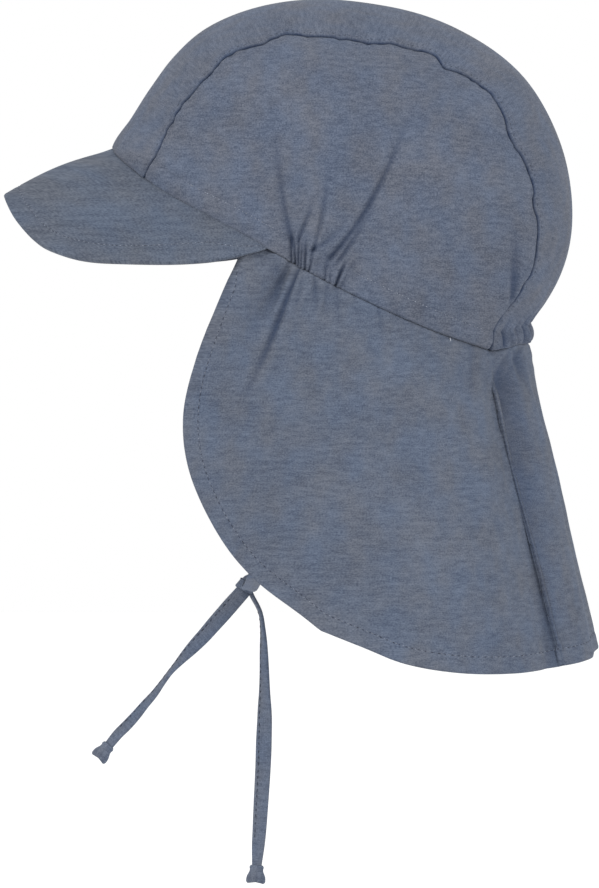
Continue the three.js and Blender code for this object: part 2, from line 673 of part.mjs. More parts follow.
const backTailRoute = [
  [-1.35, -25.75, -132.75], [-1.9, -22.7, -138.9], [-2.2, -21.7, -145.6], [-2.2, -21.4, -152.5],
  [-2.1, -21.2, -159.4], [-1.9, -21.1, -166.2], [-1.7, -21.1, -173.1], [-1.4, -21.1, -179.9],
  [-1.2, -21.3, -186.8], [-1, -21.5, -193.7], [-0.8, -21.8, -200.5], [-0.7, -22.2, -207.4],
  [-0.6, -22.6, -214.2], [-0.6, -23, -221.1], [-0.6, -23.5, -228], [-0.6, -24, -234.8],
];
const points = (route, mirrored) => route.map(([x, y, z]) => new THREE.Vector3(mirrored ? -x : x, y, z));

// Width shares and turns in degrees of the strips along their routes
const rootSections = [
  { at: 0, width: 1, turn: 0 }, { at: 0.6, width: 0.9, turn: 10 }, { at: 1, width: 0.6, turn: 30 },
];
const frontTailSections = [
  { at: 0, width: 0.45, turn: 0 }, { at: 0.12, width: 1, turn: 0 }, { at: 0.3, width: 0.95, turn: 20 },
  { at: 0.52, width: 0.9, turn: 76 }, { at: 0.68, width: 0.85, turn: 66 }, { at: 0.85, width: 0.8, turn: 45 },
  { at: 1, width: 0.6, turn: 25 },
];
const backTailSections = [
  { at: 0, width: 0.4, turn: 60 }, { at: 0.08, width: 0.75, turn: 72 }, { at: 0.2, width: 0.9, turn: 52 },
  { at: 0.45, width: 1, turn: 20 }, { at: 0.6, width: 1, turn: 0 }, { at: 0.9, width: 0.85, turn: 0 },
  { at: 1, width: 0.6, turn: 0 },
];

function piece(name, geometry, colour) {
  const material = new THREE.MeshStandardMaterial({ color: colour, roughness: 0.92, metalness: 0 });
  const mesh = new THREE.Mesh(geometry, material);
  mesh.name = name;
  return mesh;
}

const cap = new THREE.Group();
cap.add(
  piece('crown_centre_panel', centrePanel(), cloth.crown),
  piece('crown_side_left', sidePanel(false), cloth.side),
  piece('crown_side_right', sidePanel(true), cloth.side),
  piece('sun_visor', visor(), cloth.visor),
  piece('neck_flap', neckFlap(), cloth.flap),
  piece('tie_knot', tieKnot(), cloth.tie),
  piece('tie_root_left', strip(points(rootRoute, false), rootSections, up), cloth.tie),
  piece('tie_root_right', strip(points(rootRoute, true), rootSections, up), cloth.tie),
  piece('tie_tail_front', strip(points(frontTailRoute, false), frontTailSections, sideways), cloth.tie),
  piece('tie_tail_back', strip(points(backTailRoute, false), backTailSections, sideways), cloth.tie),
  piece('tie_tip_front', tieTip(points(frontTailRoute, false), frontTailSections), cloth.tie),
  piece('tie_tip_back', tieTip(points(backTailRoute, false), backTailSections), cloth.tie),
);

export default cap;
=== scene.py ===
import math

import bpy
import numpy as np
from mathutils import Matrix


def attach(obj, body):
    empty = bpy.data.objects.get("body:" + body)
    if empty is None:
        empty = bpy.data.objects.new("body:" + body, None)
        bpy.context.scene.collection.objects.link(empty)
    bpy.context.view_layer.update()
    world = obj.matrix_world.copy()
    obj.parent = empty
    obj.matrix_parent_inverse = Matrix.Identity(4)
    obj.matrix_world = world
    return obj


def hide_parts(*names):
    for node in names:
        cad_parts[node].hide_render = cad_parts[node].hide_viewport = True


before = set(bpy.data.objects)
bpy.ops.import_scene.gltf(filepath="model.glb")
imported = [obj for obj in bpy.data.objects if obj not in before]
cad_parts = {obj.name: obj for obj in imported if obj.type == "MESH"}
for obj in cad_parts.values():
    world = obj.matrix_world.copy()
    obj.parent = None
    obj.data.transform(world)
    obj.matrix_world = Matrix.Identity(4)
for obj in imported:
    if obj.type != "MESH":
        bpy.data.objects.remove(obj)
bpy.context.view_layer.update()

MM = 0.001

# Crown, its band seam and its panels
CROWN_LENGTH = 180
CROWN_BREADTH = 144
CROWN_RISE = 82
CROWN_CENTRE_BACK = 3.8
CROWN_CENTRE_UP = 12.2
CROWN_ROUNDNESS = 2.1
CENTRE_PANEL_WIDTH = 88
BROW_TURN = 18.2
BROW_CORNER_TURN = 10.6
NAPE_TURN = 215.4
NAPE_CORNER_TURN = 223.8
BAND_SAG = 4.7

# Cloth, hems and seams
CLOTH_WALL = 1.2
CASING_WALL = 2.2
CASING_HEIGHT = 7.6
HEM_WALL = 2
HEM_WIDTH = 6.7
HEM_STITCH_INSET = 0.4
VISOR_WALL = 2.4
SEAM_GAP = 0.16
SEAM_ROLL = 0.55
SEAM_ROLL_WIDTH = 1
SEAM_SHADE_WIDTH = 0.4
SEAM_TUG_DEPTH = 0.5
SEAM_TUG_WIDTH = 4.5
TOPSTITCH_INSET = 1.3
LAP_WIDTH = 3
LAP_HEIGHT = 0.35
LAP_SOFTNESS = 0.8
GATHER_DEPTH = 2.2
NAPE_PUFF = 3.4
NAPE_FLUTES = 5
NAPE_FLUTE_DEPTH = 0.5
PUCKER_DEPTH = 1
PUCKER_SHARE = 0.022
SEAM_LENGTH = 330
SEAM_WOBBLE = 0.35

# Peak and flap
VISOR_REACH = 41.8
VISOR_DROP = 42.6
VISOR_CAMBER = 1.6
VISOR_CORNER_SHARE = 0.37
VISOR_BROW_SHARE = 5 / 14
VISOR_CLOSE_SHARE = 0.9
VISOR_TILT = 4.6
VISOR_TILT_HALF = 45
VISOR_STITCH_INSET = 6.2
VISOR_TUCK = 0.7
VISOR_TUCK_DEPTH = 0.6
FLAP_DROP = 159.7
FLAP_BACK = 106
FLAP_FRONT = 51.8
FLAP_BREADTH = 124
FLAP_BULGE = 3
FLAP_FOLD_DEPTH = 7
FLAP_START_SHARE = 0.3
FLAP_NAPE_SHARE = 0.9
FLAP_TUCK_SHARE = 0.03
FLAP_FRONT_SHARE = 0.06
FLAP_SIDEWAYS = 0.3

# Ties
TIE_WIDTH = 6
TIE_THICKNESS = 1.2
TIE_TIP_WIDTH = 7.4
TIE_TIP_LENGTH = 7
KNOT_BACK = -27.1
KNOT_UP = -127.8


def table(columns, *rows):
    """Rows of numbers as one array for each named column."""
    return {name: np.array([row[i] for row in rows], float) for i, name in enumerate(columns.split())}


def rows_of(rows):
    """The rows of a table, each as a dictionary."""
    return [{name: rows[name][i] for name in rows} for i in range(len(next(iter(rows.values()))))]


def along(rows, position, start, value):
    """Smooth curve through a table's rows, flat beyond both ends."""
    xs, ys = rows[start], rows[value]
    at = np.clip(position, xs[0], xs[-1])
    i = np.clip(np.searchsorted(xs, at, side="left") - 1, 0, len(xs) - 2)
    span = xs[i + 1] - xs[i]

    def slope(a, b):
        return (ys[b] - ys[a]) / (xs[b] - xs[a]) * span

    before = slope(np.maximum(i - 1, 0), i + 1)
    after = slope(i, np.minimum(i + 2, len(xs) - 1))
    t = (at - xs[i]) / span
    rise = ys[i + 1] - ys[i]
    return ys[i] + t * (before + t * (3 * rise - 2 * before - after + t * (before + after - 2 * rise)))


def smooth(value, low, high):
    """0 below low, 1 above high, and an S-curve between."""
    t = np.clip((value - low) / (high - low), 0, 1)
    return t * t * (3 - 2 * t)


def lerp(a, b, share):
    return a + (b - a) * share


def unit(vectors):
    return vectors / np.maximum(np.linalg.norm(vectors, axis=-1, keepdims=True), 1e-12)


def stack(x, y, z):
    return np.stack(np.broadcast_arrays(x, y, z), axis=-1).astype(float)


def places_of(stretches):
    """Places of the columns of a table's stretches, its end too."""
    parts = [np.linspace(r["start"], r["end"], int(r["columns"]), endpoint=False) for r in rows_of(stretches)]
    return np.concatenate(parts + [[1.0]])


def unevenness(u, v, size, seed):
    """Seeded smooth unevenness, mostly within -1 and 1, of waves of about the given size."""
    rng = np.random.default_rng(seed)
    total = np.zeros(np.broadcast(u, v).shape)
    for _ in range(WAVE_COUNT):
        angle, phase = rng.uniform(0, math.tau, 2)
        length = size * rng.uniform(*WAVE_SPREAD)
        total += np.sin(math.tau * (u * math.cos(angle) + v * math.sin(angle)) / length + phase)
    return total / math.sqrt(2 * WAVE_COUNT)


# Side view of the crown: its reach at each turn from level front, up over the top
CROWN_OUTLINE = table(
    "turn reach",
    (-65, 1.05), (-38, 0.89), (-18, 0.86), (0, 0.89), (11, 0.935), (18, 0.971), (28, 0.948), (38, 0.96),
    (47, 0.983), (60, 1.006), (85, 1), (103, 0.987), (122, 1.015), (141, 1.034), (158, 1.025),
    (177, 1.026), (194, 1.014), (204, 1), (211, 0.983), (217, 0.99), (224, 1.034), (230, 1.06),
    (240, 1.13), (258, 1.2), (295, 1.05),
)
# Half width of the centre panel at each turn, as a share of half its greatest width
CENTRE_PANEL_TAPER = table(
    "turn half",
    (10.6, 0.91), (16, 1.02), (22, 1.04), (30, 0.975), (46, 1.01), (60, 0.98), (70, 1.02), (77, 0.97),
    (84, 1.03), (95, 1.03), (111, 1.02), (121, 0.985), (126, 1.04), (135, 0.98), (147, 0.985),
    (158, 1.02), (168, 0.965), (180, 0.95), (196, 0.85), (208, 0.835), (218, 0.85), (224, 0.78),
)
BAND_SAGGING = table(
    "at sag",
    (0, 0), (0.1, 0.35), (0.3, 0.6), (0.5, 0.95), (0.62, 1), (0.75, 0.9), (0.87, 0.6), (1, 0),
)
# Creases fanning from the temple gathers, as the source has them
CROWN_CREASES = table(
    "at lean length depth wide",
    (0.441, -33, 0.75, 1, 1), (0.45, -13, 0.3, 0.6, 0.8), (0.47, -11, 0.42, 0.6, 1),
    (0.49, 30, 0.3, 0.6, 1), (0.53, 1, 0.8, 0.8, 1.2), (0.575, 1, 0.6, 0.7, 1.2),
)
FLAP_CREASES = table(
    "at lean length depth wide",
    (0.41, 2, 0.45, 0.9, 1.8), (0.441, 3, 0.95, 1.1, 2), (0.49, 26, 0.4, 0.5, 1.6),
    (0.57, 30, 0.4, 0.4, 1.6), (0.67, 45, 0.4, 0.4, 2),
)
SEAM_PUCKERS = table(
    "at dent",
    (0.1, 0.7), (0.19, 0.5), (0.26, -0.5), (0.41, 1), (0.46, -0.6), (0.57, 0.6), (0.63, -0.4),
    (0.68, 1), (0.74, 0.4), (0.83, -0.4),
)
VISOR_EDGE = table(
    "at back drop broad",
    (-0.14, 0.043, 0.575, -0.29), (0, 0, 0.41, 0), (0.14, 0.043, 0.575, 0.29), (0.25, 0.118, 0.77, 0.45),
    (0.36, 0.192, 0.87, 0.594), (0.47, 0.298, 0.95, 0.725), (0.6, 0.443, 0.985, 0.855),
    (0.73, 0.62, 1, 0.949), (0.85, 0.78, 0.985, 1), (0.94, 0.917, 0.94, 1.008), (1, 1, 0.93, 1),
)
FLAP_EDGE = table(
    "at back up side",
    (0, -0.5, 0.02, 1.02), (0.06, -0.72, -0.13, 0.98), (0.14, -0.9, -0.28, 0.95),
    (0.22, -0.985, -0.41, 0.92), (0.3, -0.935, -0.54, 0.86), (0.38, -0.735, -0.68, 0.78),
    (0.47, -0.475, -0.785, 0.71), (0.55, -0.12, -0.873, 0.77), (0.63, 0.14, -0.94, 0.88),
    (0.71, 0.3, -0.98, 0.97), (0.79, 0.5, -1, 1), (0.86, 0.7, -1, 0.93), (0.92, 0.87, -0.987, 0.73),
    (0.965, 0.965, -0.97, 0.38), (1, 1, -0.955, 0), (1.035, 0.965, -0.97, -0.38),
)
FLAP_FOLDS = table(
    "at depth wide",
    (0.78, 0.12, 0.05), (0.885, -1, 0.03), (0.94, 0.25, 0.03), (0.975, -0.35, 0.02),
)
FLAP_FAN = table(
    "band rim",
    (0, 0), (0.1, 0.12), (0.22, 0.28), (0.42, 0.46), (0.6, 0.61), (0.74, 0.74), (0.9, 0.92), (1, 1),
)

# Fine grids: closest over the temple gathers and at the nape
SEAM_STRETCHES = table(
    "start end columns",
    (0, 0.42, 84), (0.42, 0.51, 58), (0.51, 0.535, 8), (0.535, 0.59, 40), (0.59, 0.94, 72), (0.94, 1, 14),
)
FLAP_STRETCHES = table(
    "start end columns",
    (0, 0.06, 8), (0.06, 0.42, 70), (0.42, 0.84, 42), (0.84, 1, 84),
)
CENTRE_STRETCHES = table(
    "start end columns",
    (0, 0.03, 8), (0.03, 0.93, 170), (0.93, 1, 34),
)
CENTRE_EDGE_STEPS = (0, 0.35, 0.7, 1.0, TOPSTITCH_INSET, 1.7, 2.2, 2.8, 3.5, 4.5, 6)
CENTRE_COLUMNS = 64
SIDE_TRIM = 0.012
SIDE_LOW_ROWS = 16
SIDE_MIDDLE_ROWS = 74
SIDE_TOP_MM = 6.5
SIDE_TOP_ROWS = 15
VISOR_COLUMNS = 90
VISOR_OPEN_ROWS = 34
VISOR_HEM_ROWS = 14
SLANT_WINDOW = 11
FLAP_TOP_ROWS = 12
FLAP_MIDDLE_ROWS = 79
HEM_ROWS = 14
SHORTEST = 1e-6

# Narrow folds: place on the band, lean from its square, length from the seam, depth and half width in
# millimetres, and for some how far they curl
CASING_FOLDS = table(
    "at lean length depth wide",
    (0.4365, -27, 14, 1.5, 0.42), (0.448, -29, 15, 1.5, 0.4), (0.458, -26, 15, 1.6, 0.4),
    (0.4665, -24, 14, 1.5, 0.4), (0.479, -25, 15, 1.8, 0.45), (0.4895, -12, 12, 1.3, 0.45),
    (0.5375, -21, 9, 1.3, 0.45), (0.5525, -27, 7, 0.9, 0.4), (0.568, -4, 13, 2.1, 0.55),
    (0.582, 4, 9, 0.6, 0.5),
)
FINE_CREASES = table(
    "at lean length depth wide curl",
    (0.459, -45, 62, 1.2, 0.85, 0.2), (0.439, -9, 32, 1.3, 0.65, 0.05), (0.487, -10.5, 46, 1.2, 0.75, -0.05),
    (0.443, 34, 27, 1.3, 0.75, -0.1), (0.506, 19, 84, 1.7, 0.9, -0.3), (0.533, 17, 44, 1.4, 0.8, -0.2),
    (0.56, 24, 20, 0.7, 0.8, -0.1), (0.3, -14, 20, 0.4, 2.2, 0), (1.066, -27, 60, 2.1, 1.4, 0),
)
FLAP_FINE_CREASES = table(
    "at lean length depth wide",
    (0.437, 1, 26, 0.9, 1.0), (0.4626, 4, 64, 1.9, 1.0), (0.475, 14, 22, 0.8, 0.8),
    (0.51, 26, 18, 0.7, 0.8), (0.545, 22, 14, 0.7, 0.7), (0.57, 30, 18, 0.6, 0.8),
    (0.62, 34, 16, 0.4, 1.0), (0.69, 36, 12, 0.8, 0.7), (0.95, 24, 26, 0.5, 1.3),
)
# Dents of the flap under the nape: place on the half, depth down it, push in, half width and half height
FLAP_DENTS = table(
    "at down dent wide tall",
    (0.95, 7, 3.6, 0.02, 8), (0.915, 14, 1.6, 0.012, 10),
)
# The flap's pressed fold behind, in the side view, its steep and gentle sides and its depth
FOLD_LINE = table(
    "up back",
    (-157.6, 88.6), (-135.9, 86), (-109.3, 80.8), (-80.5, 75.2), (-65.9, 73.3), (-58.4, 71), (-52.4, 69.6),
    (-41.9, 64.7), (-36, 60.5),
)
FOLD_STEEP = 2.4
FOLD_GENTLE = 4.6
FOLD_PUSH = 2
# Cap on the painted shade that a fold may give
DARKEST_PAINTED_SHADE = 1.2

# Unevenness of the cloth: height, wave size and seed, and the distances from a seam where it starts and
# where it is whole
WAVES = {
    "side swell": (0.35, 42, 11, 4, 22),
    "side ripple": (0.12, 15, 12, 6, 16),
    "casing ruffle": (0.32, 3.6, 21, 0, 1.5),
    "centre swell": (0.4, 38, 31, 0, 12),
    "peak swell": (0.3, 34, 51, 0, 8),
    "flap swell": (0.5, 55, 61, 0, 16),
    "flap ripple": (0.14, 16, 62, 0, 16),
    "flap gathers": (0.45, 3.4, 71, 0, 1.5),
}
WAVE_COUNT = 10
WAVE_SPREAD = (0.7, 1.6)


# Crown as one dome
def crown_reach(turn):
    first = CROWN_OUTLINE["turn"][0]
    return along(CROWN_OUTLINE, (turn - first) % 360 + first, "turn", "reach")


def dome_point(turn, side):
    out = np.minimum(np.abs(side) / (CROWN_BREADTH / 2), 1)
    reach = crown_reach(turn) * (1 - out ** CROWN_ROUNDNESS) ** (1 / CROWN_ROUNDNESS)
    back = CROWN_CENTRE_BACK - np.cos(np.radians(turn)) * reach * CROWN_LENGTH / 2
    return stack(side, back, CROWN_CENTRE_UP + np.sin(np.radians(turn)) * reach * CROWN_RISE)


def dome_level(points):
    """How far points stand out of the dome, zero on it."""
    forward = (CROWN_CENTRE_BACK - points[..., 1]) / (CROWN_LENGTH / 2)
    height = (points[..., 2] - CROWN_CENTRE_UP) / CROWN_RISE
    share = np.hypot(forward, height) / crown_reach(np.degrees(np.arctan2(height, forward)))
    return share ** CROWN_ROUNDNESS + (np.abs(points[..., 0]) / (CROWN_BREADTH / 2)) ** CROWN_ROUNDNESS - 1


def dome_normal(points):
    step = 0.4 * np.eye(3)
    return unit(np.stack([dome_level(points + e) - dome_level(points - e) for e in step], axis=-1))


def dome_side(back, height):
    """Half breadth of the dome over a point of the side view."""
    share = dome_level(stack(0, back, height)) + 1
    return CROWN_BREADTH / 2 * np.maximum(1 - share, 0) ** (1 / CROWN_ROUNDNESS)


def centre_half(turn):
    return CENTRE_PANEL_WIDTH / 2 * along(CENTRE_PANEL_TAPER, turn, "turn", "half")


def seam_turn(share):
    return lerp(BROW_CORNER_TURN, NAPE_CORNER_TURN, share)


def waves(kind, u, v, from_seam):
    """A kind of unevenness named in WAVES, fading out towards a seam."""
    height, size, seed, start, whole = WAVES[kind]
    return height * unevenness(u, v, size, seed) * smooth(from_seam, start, whole)


def bell(distance, width):
    """1 at no distance, falling away over about the given width."""
    return np.exp(-((distance / width) ** 2))


def seam_half(share):
    """Half width of the centre panel along its seam, which the thread draws a little uneven."""
    place = share * SEAM_LENGTH
    wobble = unevenness(place, 0, 13, 3) + 0.25 * unevenness(place, 0, 5, 4)
    held = smooth(share, 0, 0.03) * smooth(share, 1, 0.97)
    return centre_half(seam_turn(share)) + SEAM_WOBBLE * wobble * held


BROW_CORNER = dome_point(BROW_CORNER_TURN, centre_half(BROW_CORNER_TURN))
NAPE_CORNER = dome_point(NAPE_CORNER_TURN, centre_half(NAPE_CORNER_TURN))
BAND_LINE = (NAPE_CORNER - BROW_CORNER) * (0, 1, 1)
BAND_AXIS = unit(BAND_LINE)
BAND_UP = unit(np.array([0, -BAND_LINE[2], BAND_LINE[1]]))


def band_point(share, lift):
    """Band seam of the left side panel, 0 at the brow corner and 1 at the nape corner."""
    share = np.asarray(share, float)[..., None]
    drop = lift - BAND_SAG * along(BAND_SAGGING, share, "at", "sag")
    point = BROW_CORNER * (0, 1, 1) + BAND_LINE * share + BAND_UP * drop
    point[..., 0] = dome_side(point[..., 1], point[..., 2])
    return point


def centre_band_turn(side, is_nape, lift):
    """Turn of the band seam under the centre panel at a sideways place."""
    corner, middle = (NAPE_CORNER_TURN, NAPE_TURN) if is_nape else (BROW_CORNER_TURN, BROW_TURN)
    share = np.minimum(np.abs(side) / centre_half(corner), 1)
    raised = np.degrees(lift / (CROWN_LENGTH / 2))
    return lerp(middle, corner, share ** 2) + (-raised if is_nape else raised)


def square_to_band(normals):
    return unit(normals - (normals @ BAND_UP)[..., None] * BAND_UP)


def band_outwards(points):
    return square_to_band(dome_normal(points))


def nape_lift(across, to_nape):
    height = np.clip(to_nape / CASING_HEIGHT, 0, 1)
    flute = np.cos(across * math.pi * NAPE_FLUTES) * np.exp(-to_nape / CASING_HEIGHT)
    full = NAPE_PUFF * np.cos(height ** 2 * math.pi / 2) + NAPE_FLUTE_DEPTH * flute
    return (1 - across ** 4) * full


def crease_place(points, row, downwards):
    """A point's run along a crease that starts on the band, and its distance across it."""
    offset = points - band_point(row["at"], 0)
    rise, back = offset @ BAND_UP, offset @ BAND_AXIS
    rise = -rise if downwards else rise
    cos, sin = math.cos(math.radians(row["lean"])), math.sin(math.radians(row["lean"]))
    return rise * cos + back * sin, back * cos - rise * sin


def crease_depth(creases, points, downwards=False):
    """Depth of the source's creases at points of the side view."""
    depth = 0
    for row in rows_of(creases):
        run, across = crease_place(points, row, downwards)
        fade = 1 - smooth(run, 0, row["length"] * CROWN_RISE)
        spread = np.maximum(row["wide"] * GATHER_DEPTH * (1 + run / CASING_HEIGHT / 3), 1e-3)
        depth = depth + row["depth"] * fade * bell(across, spread) * (run > -CASING_HEIGHT)
    return GATHER_DEPTH * depth


def fine_creases(creases, points, downwards=False, start=-2.0):
    """Narrow folds in millimetres, sharpest by the band: valleys with a low ridge on either side."""
    depth = 0
    for row in rows_of(creases):
        run, across = crease_place(points, row, downwards)
        length, ahead = row["length"], np.maximum(run, 0)
        wave = 0.02 * ahead * np.sin(ahead / length * 5 + 40 * row["at"])
        bend = wave + row.get("curl", 0) * ahead ** 2 / length
        near = ((across - bend) / (row["wide"] * (1 + ahead / length))) ** 2
        fade = smooth(run, start, start + 1.5 + max(start, 0) / 2) * (1 - smooth(run, 0.35 * length, length))
        depth = depth + row["depth"] * fade * (np.exp(-near) - 0.35 * np.exp(-near / 5))
    return depth


def puckers(place, distance):
    depth = 0
    for row in rows_of(SEAM_PUCKERS):
        depth = depth + row["dent"] * bell(place - row["at"], PUCKER_SHARE)
    return -PUCKER_DEPTH * depth * np.exp(-distance / CASING_HEIGHT)


def seam_tugs(length_along, distance):
    """Small tugs of the thread beside a topstitched seam."""
    tug = unevenness(length_along, 0.15 * distance, 8, 5)
    tug = tug + 0.6 * unevenness(length_along, 0.2 * distance, 4, 6)
    return -SEAM_TUG_DEPTH * np.maximum(tug, 0) * bell(distance, SEAM_TUG_WIDTH)


def seam_shade(distance, place):
    """Painted shade: a dark line where two panels turn into their seam, unevenly dark along it."""
    depth = 1 + 0.4 * unevenness(place * SEAM_LENGTH, 0, 6, 8)
    return depth * bell(distance, SEAM_SHADE_WIDTH)


def edge_roll(distance):
    """The cloth turns under over the last millimetre before a seam."""
    return -SEAM_ROLL * np.maximum(1 - distance / SEAM_ROLL_WIDTH, 0) ** 2


def stitch_groove(distance, depth=0.22, width=0.7):
    return -depth * bell(distance, width)


# Meshes
def casing_wall(rise):
    """Doubled cloth up to the casing's stitch row, one layer above it."""
    return lerp(CASING_WALL, CLOTH_WALL, smooth(rise, 0.9 * CASING_HEIGHT, 1.1 * CASING_HEIGHT))


def grid_normals(grid):
    """Normals of a grid from its neighbours; the caller turns them outwards."""
    return unit(np.cross(np.gradient(grid, axis=0), np.gradient(grid, axis=1)))


def perimeter(columns, rows):
    """Indexes round a grid's border, each with the neighbour one step inwards."""
    ring = [(i, 0, i, 1) for i in range(columns - 1)]
    ring += [(columns - 1, j, columns - 2, j) for j in range(rows - 1)]
    ring += [(i, rows - 1, i, rows - 2) for i in range(columns - 1, 0, -1)]
    ring += [(0, j, 1, j) for j in range(rows - 1, 0, -1)]
    return ring


def shell(name, grid, normals, walls, uv, painted_shade):
    """Closed cloth with rounded edges, from its outer face, its normals and its wall thickness."""
    columns, rows = grid.shape[:2]
    inner = grid - normals * walls[..., None]
    ring = perimeter(columns, rows)
    edge = []
    for i, j, k, l in ring:
        out = unit(grid[i, j] - grid[k, l]) * 0.3 * min(walls[i, j], np.linalg.norm(grid[i, j] - grid[k, l]))
        edge.append((grid[i, j] + inner[i, j]) / 2 + out)
    points = np.concatenate([grid.reshape(-1, 3), inner.reshape(-1, 3), np.array(edge)])
    size = columns * rows
    index = np.arange(size).reshape(columns, rows)
    faces = np.stack([index[:-1, :-1], index[1:, :-1], index[1:, 1:], index[:-1, 1:]], axis=-1).reshape(-1, 4)
    quads = [faces, faces[:, ::-1] + size]
    border = np.array([index[i, j] for i, j, _, _ in ring])
    middle = 2 * size + np.arange(len(ring))
    after, middle_after = np.roll(border, -1), np.roll(middle, -1)
    quads.append(np.stack([after, border, middle, middle_after], axis=-1))
    quads.append(np.stack([middle_after, middle, border + size, after + size], axis=-1))
    uvs = np.concatenate([uv.reshape(-1, 2)] * 2 + [np.array([uv[i, j] for i, j, _, _ in ring])])
    folds = np.concatenate([painted_shade.ravel()] * 2 + [np.array([painted_shade[i, j] for i, j, _, _ in ring])])
    return mesh_piece(name, points, np.concatenate(quads), uvs, folds)


def mesh_piece(name, points, faces, uvs=None, folds=None):
    """Mesh object in metres, its faces outwards, with its cloth coordinates and painted fold shade."""
    mesh = bpy.data.meshes.new(name)
    mesh.from_pydata((np.asarray(points) * MM).tolist(), [], [list(face) for face in faces])
    mesh.validate()
    if sum_volume(mesh) < 0:
        mesh.flip_normals()
    mesh.polygons.foreach_set("use_smooth", [True] * len(mesh.polygons))
    if uvs is not None:
        corners = np.empty(len(mesh.loops), int)
        mesh.loops.foreach_get("vertex_index", corners)
        mesh.uv_layers.new(name="Cloth").data.foreach_set("uv", np.asarray(uvs)[corners].ravel())
        mesh.attributes.new("painted_shade", "FLOAT", "POINT").data.foreach_set("value", np.asarray(folds, float))
    mesh.update()
    obj = bpy.data.objects.new(name, mesh)
    bpy.context.collection.objects.link(obj)
    return obj


def sum_volume(mesh):
    """Six times the mesh's volume, negative when its faces point inwards."""
    mesh.calc_loop_triangles()
    corners = np.empty(len(mesh.loop_triangles) * 3, int)
    mesh.loop_triangles.foreach_get("vertices", corners)
    points = np.empty(len(mesh.vertices) * 3)
    mesh.vertices.foreach_get("co", points)
    a, b, c = points.reshape(-1, 3)[corners.reshape(-1, 3)].transpose(1, 0, 2)
    return float(np.einsum("ij,ij->i", a, np.cross(b, c)).sum())


def strip_rows(length, low_mm, low_rows, middle_rows, high_mm, high_rows):
    """Heights up a strip of cloth: close steps by both seams, even ones between."""
    low = np.minimum(low_mm, 0.4 * length)[:, None] * np.linspace(0, 1, low_rows + 1)
    high = length[:, None] - np.minimum(high_mm, 0.4 * length)[:, None] * np.linspace(1, 0, high_rows + 1)
    middle = lerp(low[:, -1:], high[:, :1], np.linspace(0, 1, middle_rows + 1)[1:-1])
    return np.concatenate([low, middle, high], axis=1)


def arc_lengths(grid, axis, used=(0, 1, 2)):
    """Distance along a grid's columns or rows from its first point."""
    steps = np.linalg.norm(np.diff(grid[..., used], axis=axis), axis=-1)
    start = np.zeros_like(np.take(steps, [0], axis=axis))
    return np.concatenate([start, np.cumsum(steps, axis=axis)], axis=axis)


# Crown
def side_face():
    """Side panel on the smooth dome: its points, normals, cloth coordinates, place and seam distances."""
    share = np.clip(places_of(SEAM_STRETCHES), SIDE_TRIM, 1 - SIDE_TRIM)
    top = dome_point(seam_turn(share), seam_half(share) + SEAM_GAP / 2)
    bottom = band_point((share + (1 - np.cos(math.pi * share)) / 2) / 2, SEAM_GAP / 2)
    length = np.hypot(top[:, 1] - bottom[:, 1], top[:, 2] - bottom[:, 2])
    rise = strip_rows(length, CASING_HEIGHT, SIDE_LOW_ROWS, SIDE_MIDDLE_ROWS, SIDE_TOP_MM, SIDE_TOP_ROWS)
    height = rise / length[:, None]
    back = lerp(bottom[:, 1:2], top[:, 1:2], height)
    up = lerp(bottom[:, 2:3], top[:, 2:3], height)
    base = stack(dome_side(back, up), back, up)
    base[:, -1, 0] = top[:, 0]
    facing = dome_normal(base)
    facing[:, 0] = band_outwards(base[:, 0])
    uv = np.stack([base[..., 1], bottom[:, 2:3] + arc_lengths(base, 1, (0, 2))], axis=-1)
    place = np.broadcast_to(share[:, None], rise.shape)
    return base, facing, uv, place, rise, length[:, None] - rise


def side_panel(mirrored):
    """Half-moon side panel, its casing drawn in at the temple."""
    base, facing, uv, place, rise, from_seam = side_face()
    held = smooth(from_seam, 0, CASING_HEIGHT)
    creases = crease_depth(CROWN_CREASES, base)
    fine = fine_creases(CASING_FOLDS, base) + fine_creases(FINE_CREASES, base, start=0.7 * CASING_HEIGHT)
    swell = waves("side swell", base[..., 1], base[..., 2], rise)
    swell += waves("side ripple", base[..., 1], base[..., 2], rise)
    casing = 0.35 * np.sin(math.pi * np.clip(rise / CASING_HEIGHT, 0, 1)) + casing_wear(base, rise)
    push = puckers(place, from_seam) - held * (creases + fine) + held * swell + casing
    push += edge_roll(rise) + edge_roll(from_seam) + seam_tugs(place * SEAM_LENGTH, from_seam)
    push += stitch_groove(rise - CASING_HEIGHT)
    grid = base + facing * push[..., None]
    # Painted shade: darker cloth in the creases and a dark line along the seam
    shade = held * (0.25 * creases / GATHER_DEPTH + 0.75 * fine)
    painted_shade = np.clip(shade, 0, DARKEST_PAINTED_SHADE) + seam_shade(from_seam, place)
    if mirrored:
        grid, facing = grid * (-1, 1, 1), facing * (-1, 1, 1)
    name = "side_panel_right" if mirrored else "side_panel_left"
    return shell(name, grid, facing, casing_wall(rise), uv, painted_shade), grid, facing


def casing_wear(base, rise):
    """Shallow upright ruffles of the elastic's casing, strongest beside the gathers."""
    along_band = (base - band_point(0, 0)) @ BAND_AXIS
    place = along_band / np.linalg.norm(BAND_LINE)
    near = bell(place - 0.5, 0.16) + 0.8 * smooth(place, 0.86, 1)
    return near * waves("casing ruffle", along_band, 0.25 * rise, rise) * bell(np.maximum(rise - 3, 0), 5)


def centre_columns(half):
    """Sideways places across the centre panel: close steps by both seams, even ones between."""
    left = -half[None] + np.array(CENTRE_EDGE_STEPS)[:, None]
    inside = np.linspace(-1, 1, CENTRE_COLUMNS)[1:-1]
    return np.concatenate([left, inside[:, None] * (half - CENTRE_EDGE_STEPS[-1])[None], -left[::-1]])


